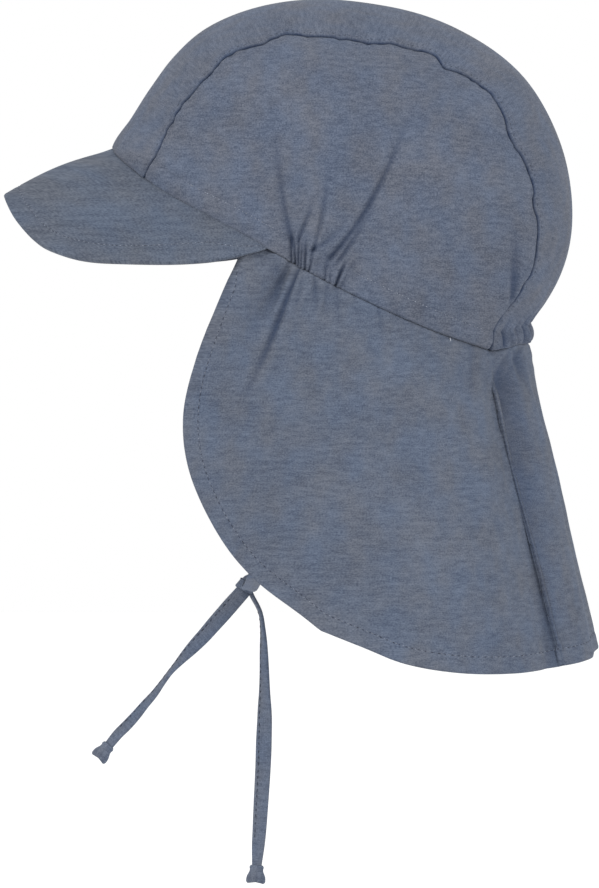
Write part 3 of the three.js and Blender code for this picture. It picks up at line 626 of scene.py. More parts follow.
def centre_panel():
    """Strip from the brow over the top to the puffed, fluted casing at the nape."""
    share = places_of(CENTRE_STRETCHES)
    half = seam_half(share) - SEAM_GAP / 2
    side = centre_columns(half)
    first, last = (centre_band_turn(side, is_nape, SEAM_GAP / 2) for is_nape in (False, True))
    turn = lerp(first, last, share[None])
    base = dome_point(turn, side)
    facing = dome_normal(base)
    turn_length = math.radians(1) * CROWN_LENGTH / 2
    to_nape, to_brow = (last - turn) * turn_length, (turn - first) * turn_length
    from_seam, across = half[None] - np.abs(side), side / half[None]
    place = np.broadcast_to(share[None], side.shape)
    gathers = nape_gathers(across, to_nape)
    lap = LAP_HEIGHT * (1 - smooth(from_seam, LAP_WIDTH - LAP_SOFTNESS, LAP_WIDTH + LAP_SOFTNESS))
    push = nape_lift(across, to_nape) + puckers(place, from_seam) + gathers
    push += waves("centre swell", side, turn * turn_length, from_seam) + lap
    push += edge_roll(from_seam) + edge_roll(to_brow) + edge_roll(to_nape)
    push += seam_tugs(place * SEAM_LENGTH, from_seam) + stitch_groove(from_seam - TOPSTITCH_INSET, 0.1, 0.45)
    push += stitch_groove(to_nape - CASING_HEIGHT, 0.3) * smooth(from_seam, 0, 2)
    grid = base + facing * push[..., None]
    uv = np.stack([side, turn * turn_length], axis=-1)
    # Painted shade in the hollows of the nape gathers, and a dark line along the seam
    painted_shade = np.clip(-gathers * 0.9, 0, DARKEST_PAINTED_SHADE) + seam_shade(from_seam, place)
    walls = casing_wall(np.minimum(to_nape, to_brow))
    return shell("centre_panel", grid, facing, walls, uv, painted_shade), grid, facing


def nape_gathers(across, to_nape):
    """Upright folds that the elastic draws across the nape's casing and a little above it."""
    drawn = smooth(np.abs(across), 0.98, 0.8) * bell(np.maximum(to_nape - 2, 0), 9)
    folds = unevenness(across * 34, 0.12 * to_nape, 4.2, 41) + 0.8 * np.cos(across * math.tau * 5.5)
    return 0.9 * drawn * folds * smooth(to_nape, 0, 2)


# Peak
def visor_seam(share):
    side = centre_half(BROW_CORNER_TURN) * np.minimum(share / VISOR_BROW_SHARE, 1)
    front = dome_point(centre_band_turn(side, False, VISOR_TUCK), side)
    front = front - VISOR_TUCK_DEPTH * dome_normal(front)
    behind = np.maximum(share - VISOR_BROW_SHARE, 0) / (1 - VISOR_BROW_SHARE)
    rear = band_point(VISOR_CORNER_SHARE * behind, VISOR_TUCK)
    rear = rear - VISOR_TUCK_DEPTH * band_outwards(rear)
    return np.where((share < VISOR_BROW_SHARE)[..., None], front, rear)


def visor_face():
    """Peak before its swell: its points, their distances from seam and edge, and its columns' lengths."""
    half = np.linspace(0, 1, VISOR_COLUMNS)
    seam = visor_seam(half)
    brow, corner = seam[0], seam[-1]
    back, drop, broad = (along(VISOR_EDGE, half, "at", column) for column in ("back", "drop", "broad"))
    edge = stack(corner[0] * broad, lerp(brow[1] - VISOR_REACH, corner[1], back), brow[2] - VISOR_DROP * drop)
    closing = smooth(half, VISOR_CLOSE_SHARE, 1)
    edge = lerp(edge, corner, closing[:, None])
    turned_down = np.sin(np.clip(edge[:, 0] / VISOR_TILT_HALF, -1, 1) * math.pi / 2) * (1 - closing)
    length = np.linalg.norm(edge - seam, axis=1)
    slant = edge_slant(edge, seam)
    rise = visor_rows(length, slant)
    depth = rise / np.maximum(length, SHORTEST)[:, None]
    base = lerp(seam[:, None], edge[:, None], depth[..., None])
    base[..., 2] += VISOR_CAMBER * np.sin(math.pi * depth) * (1 - half[:, None])
    sink = stack(0, 0, VISOR_TILT / 2 * turned_down[:, None] * depth)
    base = np.concatenate([(base[:0:-1] + sink[:0:-1]) * (-1, 1, 1), base - sink])
    from_edge = (length[:, None] - rise) * slant[:, None]
    size = np.broadcast_to(length[:, None], rise.shape)
    return base, *(mirrored_rows(rows) for rows in (rise, from_edge, size))


def visor():
    """Peak, arched across and a little hollow from brow to edge, with its quilted edge row."""
    base, from_seam, from_edge, size = visor_face()
    facing = fill_shrunk(base, grid_normals(base))
    facing *= np.sign(facing[len(facing) // 2, 5, 2])
    swell = waves("peak swell", base[..., 0] + 0.6 * base[..., 1], base[..., 2], from_seam)
    quilt = unevenness(arc_lengths(base, 0)[:, -8:-7], 0, 5, 52) * bell(from_edge - 5.5, 3.5)
    push = swell * smooth(from_edge, 0, 6) + 0.12 * quilt + 0.7 * edge_roll(from_edge)
    push += stitch_groove(from_edge - VISOR_STITCH_INSET)
    grid = base + facing * push[..., None]
    walls = VISOR_WALL * np.clip(size / (3 * VISOR_WALL), 0.25, 1)
    uv = np.stack([base[..., 1] * 0.9 - np.abs(base[..., 0]) * 0.5, base[..., 2] * 1.1], axis=-1)
    return shell("peak", grid, facing, walls, uv, 0 * walls), grid, facing


def mirrored_rows(rows):
    return np.concatenate([rows[:0:-1], rows])


def edge_slant(edge, start):
    """How squarely each column meets the edge, so that a hem keeps its width."""
    tangent = unit(np.gradient(edge, axis=0))
    across = np.linalg.norm(np.cross(unit(edge - start + 1e-6), tangent), axis=-1)
    kernel = np.ones(SLANT_WINDOW) / SLANT_WINDOW
    padded = np.pad(np.clip(across, 0.35, 1), SLANT_WINDOW // 2, mode="edge")
    return np.convolve(padded, kernel, mode="valid")


def visor_rows(length, slant):
    """Rows down the peak: its stitch row keeps its distance from the edge."""
    hem = np.minimum(VISOR_STITCH_INSET / slant, 0.5 * length)
    open_rows = (length - hem)[:, None] * np.linspace(0, 1, VISOR_OPEN_ROWS)
    hem_rows = length[:, None] - hem[:, None] * np.linspace(1, 0, VISOR_HEM_ROWS + 1)[1:]
    return np.concatenate([open_rows, hem_rows], axis=1)


def fill_shrunk(grid, facing):
    """Columns that shrink to a point borrow the next column's normals."""
    size = np.linalg.norm(grid[:, 0] - grid[:, -1], axis=-1)
    good = np.flatnonzero(size > 3 * SEAM_GAP)
    nearest = good[np.argmin(np.abs(np.arange(len(size))[:, None] - good[None]), axis=1)]
    return facing[nearest]


# Flap
def flap_top(share):
    lift = -0.8 * SEAM_GAP
    band_share = lerp(FLAP_START_SHARE, 1, np.minimum(share / FLAP_NAPE_SHARE, 1))
    side_top = band_point(band_share, lift)
    across = np.clip((1 - share) / (1 - FLAP_NAPE_SHARE), 0, 1)
    side = centre_half(NAPE_CORNER_TURN) * across
    back_top = dome_point(centre_band_turn(side, True, lift), side)
    back_top = back_top + dome_normal(back_top) * nape_lift(across, 0)[..., None]
    is_side = share < FLAP_NAPE_SHARE
    top = np.where(is_side[..., None], side_top, back_top)
    inset = (VISOR_WALL + 2 * SEAM_GAP) * (1 - smooth(band_share - VISOR_CORNER_SHARE, 0, FLAP_TUCK_SHARE))
    gathered = np.where(is_side, crease_depth(CROWN_CREASES, top), 0)
    return top - band_outwards(top) * (inset + gathered)[..., None]


def flap_rim(share):
    back, rise, side = (along(FLAP_EDGE, share, "at", column) for column in ("back", "up", "side"))
    return stack(side * FLAP_BREADTH / 2, back * np.where(back > 0, FLAP_BACK, FLAP_FRONT), rise * FLAP_DROP)


def flap_bulge(share, depth):
    """The flap's slow swelling down its drop, and its flutes behind."""
    push = FLAP_BULGE * np.sin(math.pi * depth) * (1 - share[:, None] ** 6)
    for row in rows_of(FLAP_FOLDS):
        shape = bell(share - row["at"], row["wide"])[:, None]
        push += FLAP_FOLD_DEPTH * row["depth"] * shape * smooth(depth, 0, 0.25) * (1 - 0.4 * depth)
    return push


def flap_half(share):
    """Left half of the flap with its folds: points, distances from band and rim, fine folds and their painted
    shade.
    """
    top = flap_top(share)
    rim = flap_rim(along(FLAP_FAN, share, "band", "rim"))
    rim[0] = top[0]
    length = np.linalg.norm(rim - top, axis=1)
    slant = edge_slant(rim, top)
    rise = flap_rows(length, slant)
    depth = rise / np.maximum(length, SHORTEST)[:, None]
    backwards = np.where(share > FLAP_NAPE_SHARE, 1, FLAP_SIDEWAYS)
    outwards = unit(stack(top[:, 0] + rim[:, 0], (top[:, 1] + rim[:, 1]) * backwards, 0))
    base = lerp(top[:, None], rim[:, None], depth[..., None])
    pressed = pressed_fold(base) * smooth(rise, 1, 14) * (1 - 0.35 * depth)
    dents = flap_dents(share, rise)
    wide = crease_depth(FLAP_CREASES, base, True) * smooth(depth, 0, 0.1) * (1 - depth)
    push = flap_bulge(share, depth) - (FOLD_PUSH * pressed + dents) - wide
    push = push * np.minimum(share / FLAP_FRONT_SHARE, 1)[:, None]
    base = base + outwards[:, None] * push[..., None]
    fine = fine_creases(FLAP_FINE_CREASES, base, True) + flap_gathers(base, rise)
    fine = fine * smooth(share[:, None], 0.02, 0.1) * smooth(length[:, None] - rise, 0, 12)
    # Painted shade in the wide creases, the fine folds, the pressed fold and the dents
    shade = 0.2 * wide / GATHER_DEPTH + 0.75 * fine + (0.62 * pressed + 0.16 * dents)
    return base, rise, (length[:, None] - rise) * slant[:, None], fine, shade


def neck_flap():
    """Flap hung from the band, fanned to its rim, fluted behind, creased under the temples, hemmed."""
    base, *rows = flap_half(places_of(FLAP_STRETCHES))
    base = np.concatenate([base, base[-2::-1] * (-1, 1, 1)])
    rise, from_rim, fine, shade = (np.concatenate([a, a[-2::-1]]) for a in rows)
    facing = fill_shrunk(base, grid_normals(base))
    facing[:, 0] = square_to_band(facing[:, 0])
    facing *= np.sign(facing[len(facing) // 4, 40, 0])
    swell = waves("flap swell", base[..., 1], base[..., 2], rise)
    swell += waves("flap ripple", base[..., 1], base[..., 2], rise)
    tug = unevenness(arc_lengths(base, 0)[:, -HEM_ROWS - 1][:, None], 0, 6, 63)
    hem = LAP_HEIGHT * (1 - smooth(from_rim, HEM_WIDTH - LAP_SOFTNESS, HEM_WIDTH + 1.5 * LAP_SOFTNESS))
    hem += 0.16 * tug * bell(from_rim - 4, 4) + stitch_groove(from_rim - HEM_WIDTH + HEM_STITCH_INSET, 0.3)
    push = swell * smooth(from_rim, 0, 8) - fine + hem + 0.8 * edge_roll(rise) + 0.6 * edge_roll(from_rim)
    grid = base + facing * push[..., None]
    walls = lerp(HEM_WALL, CLOTH_WALL, smooth(from_rim, 0.9 * HEM_WIDTH, 1.5 * HEM_WIDTH))
    uv = np.stack([base[..., 1] + 0.8 * (FLAP_BREADTH / 2 - np.abs(base[..., 0])), base[..., 2]], axis=-1)
    # Painted shade from the flap's folds goes with the shell
    return shell("flap", grid, facing, walls, uv, np.clip(shade, 0, DARKEST_PAINTED_SHADE)), grid, facing


def pressed_fold(base):
    """Valley behind, steep towards the side and gentle towards the middle."""
    offset = base[..., 1] - along(FOLD_LINE, base[..., 2], "up", "back")
    return bell(offset, np.where(offset < 0, FOLD_STEEP, FOLD_GENTLE))


def flap_dents(share, rise):
    depth = 0
    for row in rows_of(FLAP_DENTS):
        place = ((share - row["at"]) / row["wide"]) ** 2
        depth = depth + row["dent"] * np.exp(-place[:, None] - ((rise - row["down"]) / row["tall"]) ** 2)
    return depth * smooth(rise, 0, 2)


def flap_rows(length, slant):
    """Rows down the flap: close steps under the band, and a hem that keeps its width."""
    hem = np.minimum((HEM_WIDTH - HEM_STITCH_INSET) / slant, 0.5 * length)
    near = np.minimum(8, 0.3 * length)[:, None] * np.linspace(0, 1, FLAP_TOP_ROWS)
    low = (length - hem)[:, None]
    middle = lerp(near[:, -1:], low, np.linspace(0, 1, FLAP_MIDDLE_ROWS + 1)[1:])
    return np.concatenate([near, middle, low + hem[:, None] * np.linspace(0, 1, HEM_ROWS + 1)[1:]], axis=1)


def flap_gathers(base, rise):
    """Small gathers under the band: at the temple, where the elastic draws in, and at the nape."""
    along_band = (base - band_point(0, 0)) @ BAND_AXIS
    place = along_band / np.linalg.norm(BAND_LINE)
    drawn = bell(place - 0.45, 0.04) + 0.6 * bell(place - 0.55, 0.04) + smooth(place, 0.97, 1.03)
    return drawn * waves("flap gathers", along_band, 0.1 * rise, rise) * bell(rise, 9)


# Ties
def smooth_route(points, count):
    """Smooth curve through the route's points, with even steps."""
    points = np.array(points, float)
    ghost = np.concatenate([[2 * points[0] - points[1]], points, [2 * points[-1] - points[-2]]])
    fine = []
    for a, b, c, d in zip(ghost, ghost[1:], ghost[2:], ghost[3:]):
        t = np.linspace(0, 1, 24, endpoint=False)[:, None]
        fine.append(0.5 * (2 * b + (c - a) * t + (2 * a - 5 * b + 4 * c - d) * t ** 2
                           + (3 * b - 3 * c + d - a) * t ** 3))
    fine = np.concatenate(fine + [points[-1:]])
    run = np.concatenate([[0], np.cumsum(np.linalg.norm(np.diff(fine, axis=0), axis=1))])
    even = np.linspace(0, run[-1], count)
    return np.stack([np.interp(even, run, fine[:, k]) for k in range(3)], axis=-1), run[-1]


def turned(vectors, axes, angles):
    """Vectors turned about axes that they are square to."""
    return vectors * np.cos(angles)[:, None] + np.cross(axes, vectors) * np.sin(angles)[:, None]


def strip_frames(points, sections, reference):
    tangent = unit(np.gradient(points, axis=0))
    at = np.linspace(0, 1, len(points))
    angles = np.radians(along(sections, at, "at", "turn"))
    wide = turned(unit(np.cross(reference, tangent)), tangent, angles)
    return at, wide, unit(np.cross(tangent, wide))


STRIP_SECTION = table(
    "across lift",
    (-0.93, 0.45), (-0.8, 0.52), (-0.62, 0.36), (-0.45, 0.47), (0, 0.5), (0.45, 0.5), (0.8, 0.52),
    (0.96, 0.42), (1, 0), (0.96, -0.42), (0.8, -0.52), (0, -0.5), (-0.8, -0.52), (-0.96, -0.42), (-1, 0),
)


# Lengths of a band that run on inside the pieces that it starts and ends in
START_HIDDEN = 2.2
END_HIDDEN = 0.8


def strip(name, route, sections, reference):
    """Folded, edge-stitched band of cloth along a route."""
    started = [tuple(np.array(route[0]) + START_HIDDEN * unit(np.subtract(route[0], route[1])))]
    ended = [tuple(np.array(route[-1]) + END_HIDDEN * unit(np.subtract(route[-1], route[-2])))]
    points, length = smooth_route(started + route + ended, int(len(route) * 5))
    at, wide, thick = strip_frames(points, sections, np.array(reference, float))
    width = along(sections, at, "at", "width") * TIE_WIDTH
    ripple = 0.12 * unevenness(at * length, 0, 7, len(name))
    across = STRIP_SECTION["across"][None] * width[:, None] / 2
    wave = ripple[:, None] * (1 - STRIP_SECTION["across"][None] ** 2)
    lift = STRIP_SECTION["lift"][None] * TIE_THICKNESS + wave
    rings = points[:, None] + wide[:, None] * across[..., None] + thick[:, None] * lift[..., None]
    uv = np.stack(np.broadcast_arrays(across, (at * length)[:, None]), axis=-1)
    piece = ring_piece(name, rings, uv)
    inset = -0.62 * width[:, None] / 2
    line = points + wide * inset + thick * 0.36 * TIE_THICKNESS
    return piece, length, points, line, thick


def ring_piece(name, rings, uv=None, painted_shade=None):
    """Closed solid through rings of points, with rounded ends."""
    count, corners = rings.shape[:2]
    points = np.concatenate([rings.reshape(-1, 3), rings[0].mean(0)[None], rings[-1].mean(0)[None]])
    index = np.arange(count * corners).reshape(count, corners)
    after = np.roll(index, -1, axis=1)
    faces = np.stack([index[:-1], after[:-1], after[1:], index[1:]], axis=-1).reshape(-1, 4).tolist()
    faces += [[count * corners, b, a] for a, b in zip(index[0], after[0])]
    faces += [[count * corners + 1, a, b] for a, b in zip(index[-1], after[-1])]
    if uv is None:
        uv = np.stack([rings[..., 1], rings[..., 2]], axis=-1)
    uvs = np.concatenate([uv.reshape(-1, 2), uv[0].mean(0)[None], uv[-1].mean(0)[None]])
    folds = np.zeros(len(points)) if painted_shade is None else np.concatenate([painted_shade.ravel(), [0, 0]])
    return mesh_piece(name, points, faces, uvs, folds)


KNOT_PROFILE = table(
    "level wide",
    (-1, 0.8), (-0.94, 0.97), (-0.85, 1), (0, 1), (0.3, 0.97), (0.6, 0.86), (0.8, 0.7), (0.93, 0.5),
    (1, 0.25),
)
KNOT_LEAN = 41
KNOT_LENGTH = 6.8
KNOT_BAND_WIDTH = 6.9
KNOT_BAND_DEPTH = 6.2
KNOT_RINGS = 60
KNOT_SIDES = 72
# Power that makes a round section a little square
ROUND_CORNERS = 0.75


def knot():
    """Half knot: one turn of the band wrapped over, its top rounded and its lower edge turned in."""
    level = np.linspace(-1, 1, KNOT_RINGS)[:, None]
    angle = np.linspace(0, math.tau, KNOT_SIDES, endpoint=False)[None]
    sin, cos = math.sin(math.radians(KNOT_LEAN)), math.cos(math.radians(KNOT_LEAN))
    axis, broad = np.array([0, sin, cos]), np.array([0, cos, -sin])
    front, side = np.cos(angle), np.sin(angle)
    slant = level - 0.3 * side + 0.1 * front
    wrap = 0.1 * smooth(slant, 0.18, 0.3) - 0.09 * bell(slant - 0.2, 0.06)
    fold_line = -0.1 * bell(side - 0.45 - 0.2 * level, 0.09) * (front > 0)
    spread = along(KNOT_PROFILE, level, "level", "wide") - wrap + fold_line
    lip = 0.22 * side * (1 - smooth(level, -0.9, 0.2))
    across = np.sign(side) * np.abs(side) ** ROUND_CORNERS
    rings = (np.array([0, KNOT_BACK, KNOT_UP]) + axis * ((level + lip) * KNOT_LENGTH / 2)[..., None]
             + broad * (across * spread * KNOT_BAND_WIDTH / 2)[..., None]
             + stack(front * spread * KNOT_BAND_DEPTH / 2, 0, 0))
    # Painted shade along the knot's crease and in the groove at the edge of its wrap
    painted_shade = np.clip(-7 * np.minimum(fold_line - wrap * (wrap < 0), 0) + 5 * np.maximum(-wrap, 0), 0, 1)
    uv = np.stack(np.broadcast_arrays(angle * KNOT_BAND_WIDTH / 2, level * KNOT_LENGTH / 2), axis=-1)
    return ring_piece("knot", rings, uv, painted_shade)


TIP_OUTLINE = table(
    "at wide thick",
    (0, 0.62, 1.6), (0.1, 0.74, 1.9), (0.22, 0.7, 1.8), (0.34, 0.72, 1.5), (0.6, 0.94, 1.35),
    (0.85, 1, 1.25), (0.96, 0.92, 1.15), (1, 0.8, 0.8),
)


def tip(name, route, sections):
    """Flared, sewn end of a tie: a turned-over neck, then a fan of two pleats with a hollow end."""
    end, before = np.array(route[-1], float), np.array(route[-2], float)
    tangent = unit(end - before)
    lean = np.radians([along(sections, np.array(1.0), "at", "turn")])
    wide = turned(unit(np.cross((1, 0, 0), tangent))[None], tangent[None], lean)[0]
    thick = unit(np.cross(tangent, wide))
    at = np.linspace(0, 1, 26)
    angle = np.linspace(0, math.tau, 28, endpoint=False)
    half = along(TIP_OUTLINE, at, "at", "wide")[:, None] * TIE_TIP_WIDTH / 2
    depth = along(TIP_OUTLINE, at, "at", "thick")[:, None] * TIE_THICKNESS / 2
    across = np.sign(np.cos(angle)) * np.abs(np.cos(angle)) ** ROUND_CORNERS
    pleat = 1 - 0.25 * smooth(at, 0.2, 0.8)[:, None] * np.cos(across[None] * math.pi * 1.5) ** 2
    hollow = 0.16 * TIE_TIP_LENGTH * (1 - across[None] ** 2) * smooth(at, 0.5, 1)[:, None]
    forward = SEAM_GAP + at[:, None] * TIE_TIP_LENGTH - hollow
    rings = (end + tangent * forward[..., None] + wide * (across[None] * half)[..., None]
             + thick * (np.sin(angle)[None] * depth * pleat)[..., None])
    uv = np.stack(np.broadcast_arrays(across[None] * half, forward), axis=-1)
    # Painted shade in the hollows between the pleats
    return ring_piece(name, rings, uv, 0.6 * (1 - pleat) * 4 * np.ones_like(forward))


# Stitches, each a small spindle of thread
SPINDLE_RINGS = 5
SPINDLE_SIDES = 6


class Sewing:
    """One kind of stitch row: its pitch, stitch length, thread radius and how unevenly it shows."""

    def __init__(self, pitch, length, radius, uneven, gaps=(), phase=0.5):
        self.pitch, self.length, self.radius, self.uneven = pitch, length, radius, uneven
        self.gaps, self.phase = gaps, phase

    def centres(self, total, seed):
        rng = np.random.default_rng(seed)
        places = np.arange(self.pitch * self.phase, total - self.pitch / 2, self.pitch)
        places = places + rng.uniform(-1, 1, len(places)) * self.uneven * self.pitch
        shown = np.ones(len(places), bool)
        for low, high in self.gaps:
            shown &= (places < low * total) | (places > high * total)
        return places[shown], rng.uniform(0.55, 1.1, shown.sum()), rng.uniform(-0.06, 0.05, shown.sum())


def spindle_faces():
    """Faces of one stitch: bands of four corners between its rings, and its two ends."""
    faces = []
    for r in range(SPINDLE_RINGS - 1):
        for k in range(SPINDLE_SIDES):
            low, high, n = r * SPINDLE_SIDES, (r + 1) * SPINDLE_SIDES, (k + 1) % SPINDLE_SIDES
            faces.append([low + k, low + n, high + n, high + k])
    last = (SPINDLE_RINGS - 1) * SPINDLE_SIDES
    return faces + [list(range(SPINDLE_SIDES))[::-1], list(range(last, last + SPINDLE_SIDES))]


def stitch_points(middle, forward, out, lift, half_length, radius, sway):
    """Points of one stitch: a spindle of thread, a little flat and arched over the cloth."""
    angle = np.linspace(0, math.tau, SPINDLE_SIDES, endpoint=False)[:, None]
    run = np.linspace(-1, 1, SPINDLE_RINGS)[:, None]
    across = np.cross(forward, out)
    ahead = unit(forward + across * sway)
    cores = middle + ahead * run * half_length + out * (lift + 0.1 * (1 - run ** 2))
    ring = across * np.cos(angle) + out * 0.8 * np.sin(angle)
    swell = np.sqrt(np.maximum(1 - run ** 2 * 0.92, 0))
    return (cores[:, None] + radius * swell[..., None] * ring[None]).reshape(-1, 3)


def stitch_mesh(name, lines, material, sewing):
    """Rows of short sunken stitches. A line is points, normals and a lift."""
    one, points, faces = spindle_faces(), [], []
    for seed, (line, normals, lift) in enumerate(lines):
        run = np.concatenate([[0], np.cumsum(np.linalg.norm(np.diff(line, axis=0), axis=1))])
        for number, (centre, size, sunk) in enumerate(zip(*sewing.centres(run[-1], seed))):
            middle, ahead, out = (
                np.array([np.interp(x, run, data[:, k]) for k in range(3)])
                for x, data in ((centre, line), (centre + 0.5, line), (centre, normals)))
            start = len(points) * SPINDLE_RINGS * SPINDLE_SIDES
            sway = 0.12 * math.sin(number * 2.4)
            points.append(stitch_points(middle, unit(ahead - middle), unit(out), lift + sunk,
                                        size * sewing.length / 2, sewing.radius, sway))
            faces += [[start + corner for corner in face] for face in one]
    piece = mesh_piece(name, np.concatenate(points), faces)
    piece.data.materials.append(material)
    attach(piece, "root")


# Materials: yarn and patch sizes in millimetres, the chambray's slow change between bluer and greyer
# cloth, and how far the painted shade in a fold turns it to its darker, bluer shade colour
YARN_WIDTH = 0.5
SLUB_WIDTH = 1.4
SLOW_TONE = (26, 18)
FINE_YARN = (0.62, 0.36)
PATCH_SIZE = (11, 17)
YARN_RELIEF = 0.12
COOL_PATCH = (0.9, 0.96, 1, 1)
WARM_PATCH = (1, 0.965, 0.9, 1)
# Painted shade: how strongly the fold value mixes in the shade colour
PAINTED_FOLD_SHADE = 0.7


def add(nodes, kind, **inputs):
    node = nodes.new(kind)
    for name, value in inputs.items():
        if name in node.inputs:
            node.inputs[name].default_value = value
        else:
            setattr(node, name, value)
    return node


def colour(red, green, blue):
    """Linear colour from sRGB values of 0 to 255."""
    def linear(value):
        value /= 255
        return value / 12.92 if value <= 0.04045 else ((value + 0.055) / 1.055) ** 2.4
    return (linear(red), linear(green), linear(blue), 1)


class Cloth:
    """A chambray's light and dark yarn colours, the painted shade colour of its folds, and the lengths of its
    yarns' streaks, in millimetres.
    """

    def __init__(self, light, dark, shade_colour, weft_streak=2.6, warp_streak=2.0, slub=9.0):
        self.light, self.dark, self.shade_colour = light, dark, shade_colour
        self.weft_streak, self.warp_streak, self.slub = weft_streak, warp_streak, slub


def streaks(nodes, links, coordinates, long_mm, short_mm, along_u=True, detail=2.0):
    """Noise stretched along one yarn direction."""
    lengths = (long_mm, short_mm) if along_u else (short_mm, long_mm)
    scale = add(nodes, "ShaderNodeVectorMath", operation="MULTIPLY")
    scale.inputs[1].default_value = (1 / lengths[0], 1 / lengths[1], 1)
    links.new(coordinates, scale.inputs[0])
    noise = add(nodes, "ShaderNodeTexNoise", noise_dimensions="2D", Scale=1, Detail=detail)
    links.new(scale.outputs[0], noise.inputs["Vector"])
    return noise.outputs[0]


def feed(links, place, value):
    """Link a socket into an input, or set the input to a plain number or colour."""
    if isinstance(value, bpy.types.NodeSocket):
        links.new(value, place)
    else:
        place.default_value = value


def calculate(nodes, links, operation, *values, clamp=False):
    node = add(nodes, "ShaderNodeMath", operation=operation, use_clamp=clamp)
    for place, value in zip(node.inputs, values):
        feed(links, place, value)
    return node.outputs[0]


def mix_colours(nodes, links, share, first, second, blend_type="MIX"):
    node = add(nodes, "ShaderNodeMix", data_type="RGBA", blend_type=blend_type)
    for place, value in ((0, share), (6, first), (7, second)):
        feed(links, node.inputs[place], value)
    return node.outputs[2]


def colour_ramp(nodes, links, value, *stops):
    """Colour that runs from one stop to the next as the value rises."""
    node = nodes.new("ShaderNodeValToRGB")
    for element, (position, tint) in zip(node.color_ramp.elements, stops):
        element.position, element.color = position, tint
    links.new(value, node.inputs[0])
    return node.outputs[0]


def mix_values(nodes, links, values):
    """Weighted sum of values, as 0.5 plus the sum of weight times each value's offset from 0.5."""
    (first, weight), *others = values
    total = calculate(nodes, links, "MULTIPLY_ADD", first, weight, 0.5 - 0.5 * weight)
    for socket, weight in others:
        shifted = calculate(nodes, links, "ADD", total, -0.5 * weight)
        total = calculate(nodes, links, "MULTIPLY_ADD", socket, weight, shifted)
    return total


def new_material(name):
    """A material with its nodes, links and shader."""
    material = bpy.data.materials.new(name)
    material.use_nodes = True
    nodes = material.node_tree.nodes
    return material, nodes, material.node_tree.links, nodes["Principled BSDF"]


def set_inputs(shader, values):
    for name, value in values.items():
        shader.inputs[name].default_value = value


def chambray(name, cloth):
    """Plain-woven two-tone cotton: streaked yarns, slubs, a slow change of tone, and painted shade in its
    folds.
    """
    material, nodes, links, shader = new_material(name)
    uv = add(nodes, "ShaderNodeUVMap", uv_map="Cloth").outputs[0]
    weft = streaks(nodes, links, uv, cloth.weft_streak, YARN_WIDTH)
    warp = streaks(nodes, links, uv, cloth.warp_streak, YARN_WIDTH, False)
    slub = streaks(nodes, links, uv, cloth.slub, SLUB_WIDTH, detail=1.0)
    slow = streaks(nodes, links, uv, *SLOW_TONE, detail=3.0)
    fine = streaks(nodes, links, uv, *FINE_YARN, detail=1.0)
    tone = mix_values(nodes, links, [(weft, 0.75), (warp, 0.6), (fine, 1.1), (slub, 0.65), (slow, 0.4)])
    yarn_colour = colour_ramp(nodes, links, tone, (0.1, cloth.dark), (0.9, cloth.light))
    # Painted shade in folds: the fold value turns the yarn colour towards the shade colour
    painted_shade = add(nodes, "ShaderNodeAttribute", attribute_name="painted_shade").outputs["Fac"]
    depth = calculate(nodes, links, "MULTIPLY", painted_shade, PAINTED_FOLD_SHADE, clamp=True)
    yarn_with_painted_shade = mix_colours(nodes, links, depth, yarn_colour, cloth.shade_colour)
    patches = streaks(nodes, links, uv, *PATCH_SIZE)
    patch = colour_ramp(nodes, links, patches, (0.3, COOL_PATCH), (0.7, WARM_PATCH))
    links.new(mix_colours(nodes, links, 1, yarn_with_painted_shade, patch, "MULTIPLY"), shader.inputs["Base Color"])
    bump = add(nodes, "ShaderNodeBump", Strength=0.5, Distance=YARN_RELIEF * MM)
    links.new(mix_values(nodes, links, [(weft, 0.7), (warp, 0.7), (fine, 0.8)]), bump.inputs["Height"])
    links.new(bump.outputs[0], shader.inputs["Normal"])
    set_inputs(shader, {
        "Roughness": 0.9, "Specular IOR Level": 0.1, "Sheen Weight": 0.05, "Sheen Roughness": 0.5})
    return material


def thread(name, rgb):
    """Sewing thread: spun cotton with a faint twist along it."""
    material, nodes, links, shader = new_material(name)
    noise = add(nodes, "ShaderNodeTexNoise", Scale=900)
    links.new(nodes.new("ShaderNodeTexCoord").outputs["Object"], noise.inputs["Vector"])
    dark, light = (tuple(min(bright * c, 1) for c in rgb[:3]) + (1,) for bright in (0.6, 1.25))
    twist = colour_ramp(nodes, links, noise.outputs[0], (0.3, dark), (0.7, light))
    links.new(twist, shader.inputs["Base Color"])
    set_inputs(shader, {"Roughness": 0.8})
    return material


# Camera, light and stage
CAMERA_AWAY = 2.4
CAMERA_BACK = -7.79 * MM
CAMERA_UP = -74.86 * MM
PIXEL = 0.38 * MM
PICTURE_HEIGHT = 888
SENSOR = 36
LIGHT_TARGET = (0, 0, -0.05)
FLOOR_UP = -0.3
FLOOR_GLOW = 0.1
FLOOR_RADIUS = 6
FLOOR_COLOUR = (0.97, 0.97, 0.97, 1)
WHITE = (1, 1, 1, 1)


def camera():
    """Camera on the wearer's left, level, with the photograph's framing."""
    data = bpy.data.cameras.new("camera")
    data.sensor_width = SENSOR
    data.lens = SENSOR * CAMERA_AWAY / (PICTURE_HEIGHT * PIXEL)
    data.clip_end = 50
    obj = bpy.data.objects.new("camera", data)
    obj.location = (CAMERA_AWAY, CAMERA_BACK, CAMERA_UP)
    obj.rotation_euler = (math.radians(90), 0, math.radians(90))
    bpy.context.collection.objects.link(obj)
    bpy.context.scene.camera = obj


def area_light(name, place, size, power):
    """Square soft light, turned towards the middle of the cap."""
    data = bpy.data.lights.new(name, "AREA")
    data.size, data.energy = size, power
    obj = bpy.data.objects.new(name, data)
    obj.location = place
    x, y, z = np.array(LIGHT_TARGET) - np.array(place)
    obj.rotation_euler = (math.atan2(math.hypot(x, y), -z), 0, math.atan2(y, x) - math.pi / 2)
    bpy.context.collection.objects.link(obj)


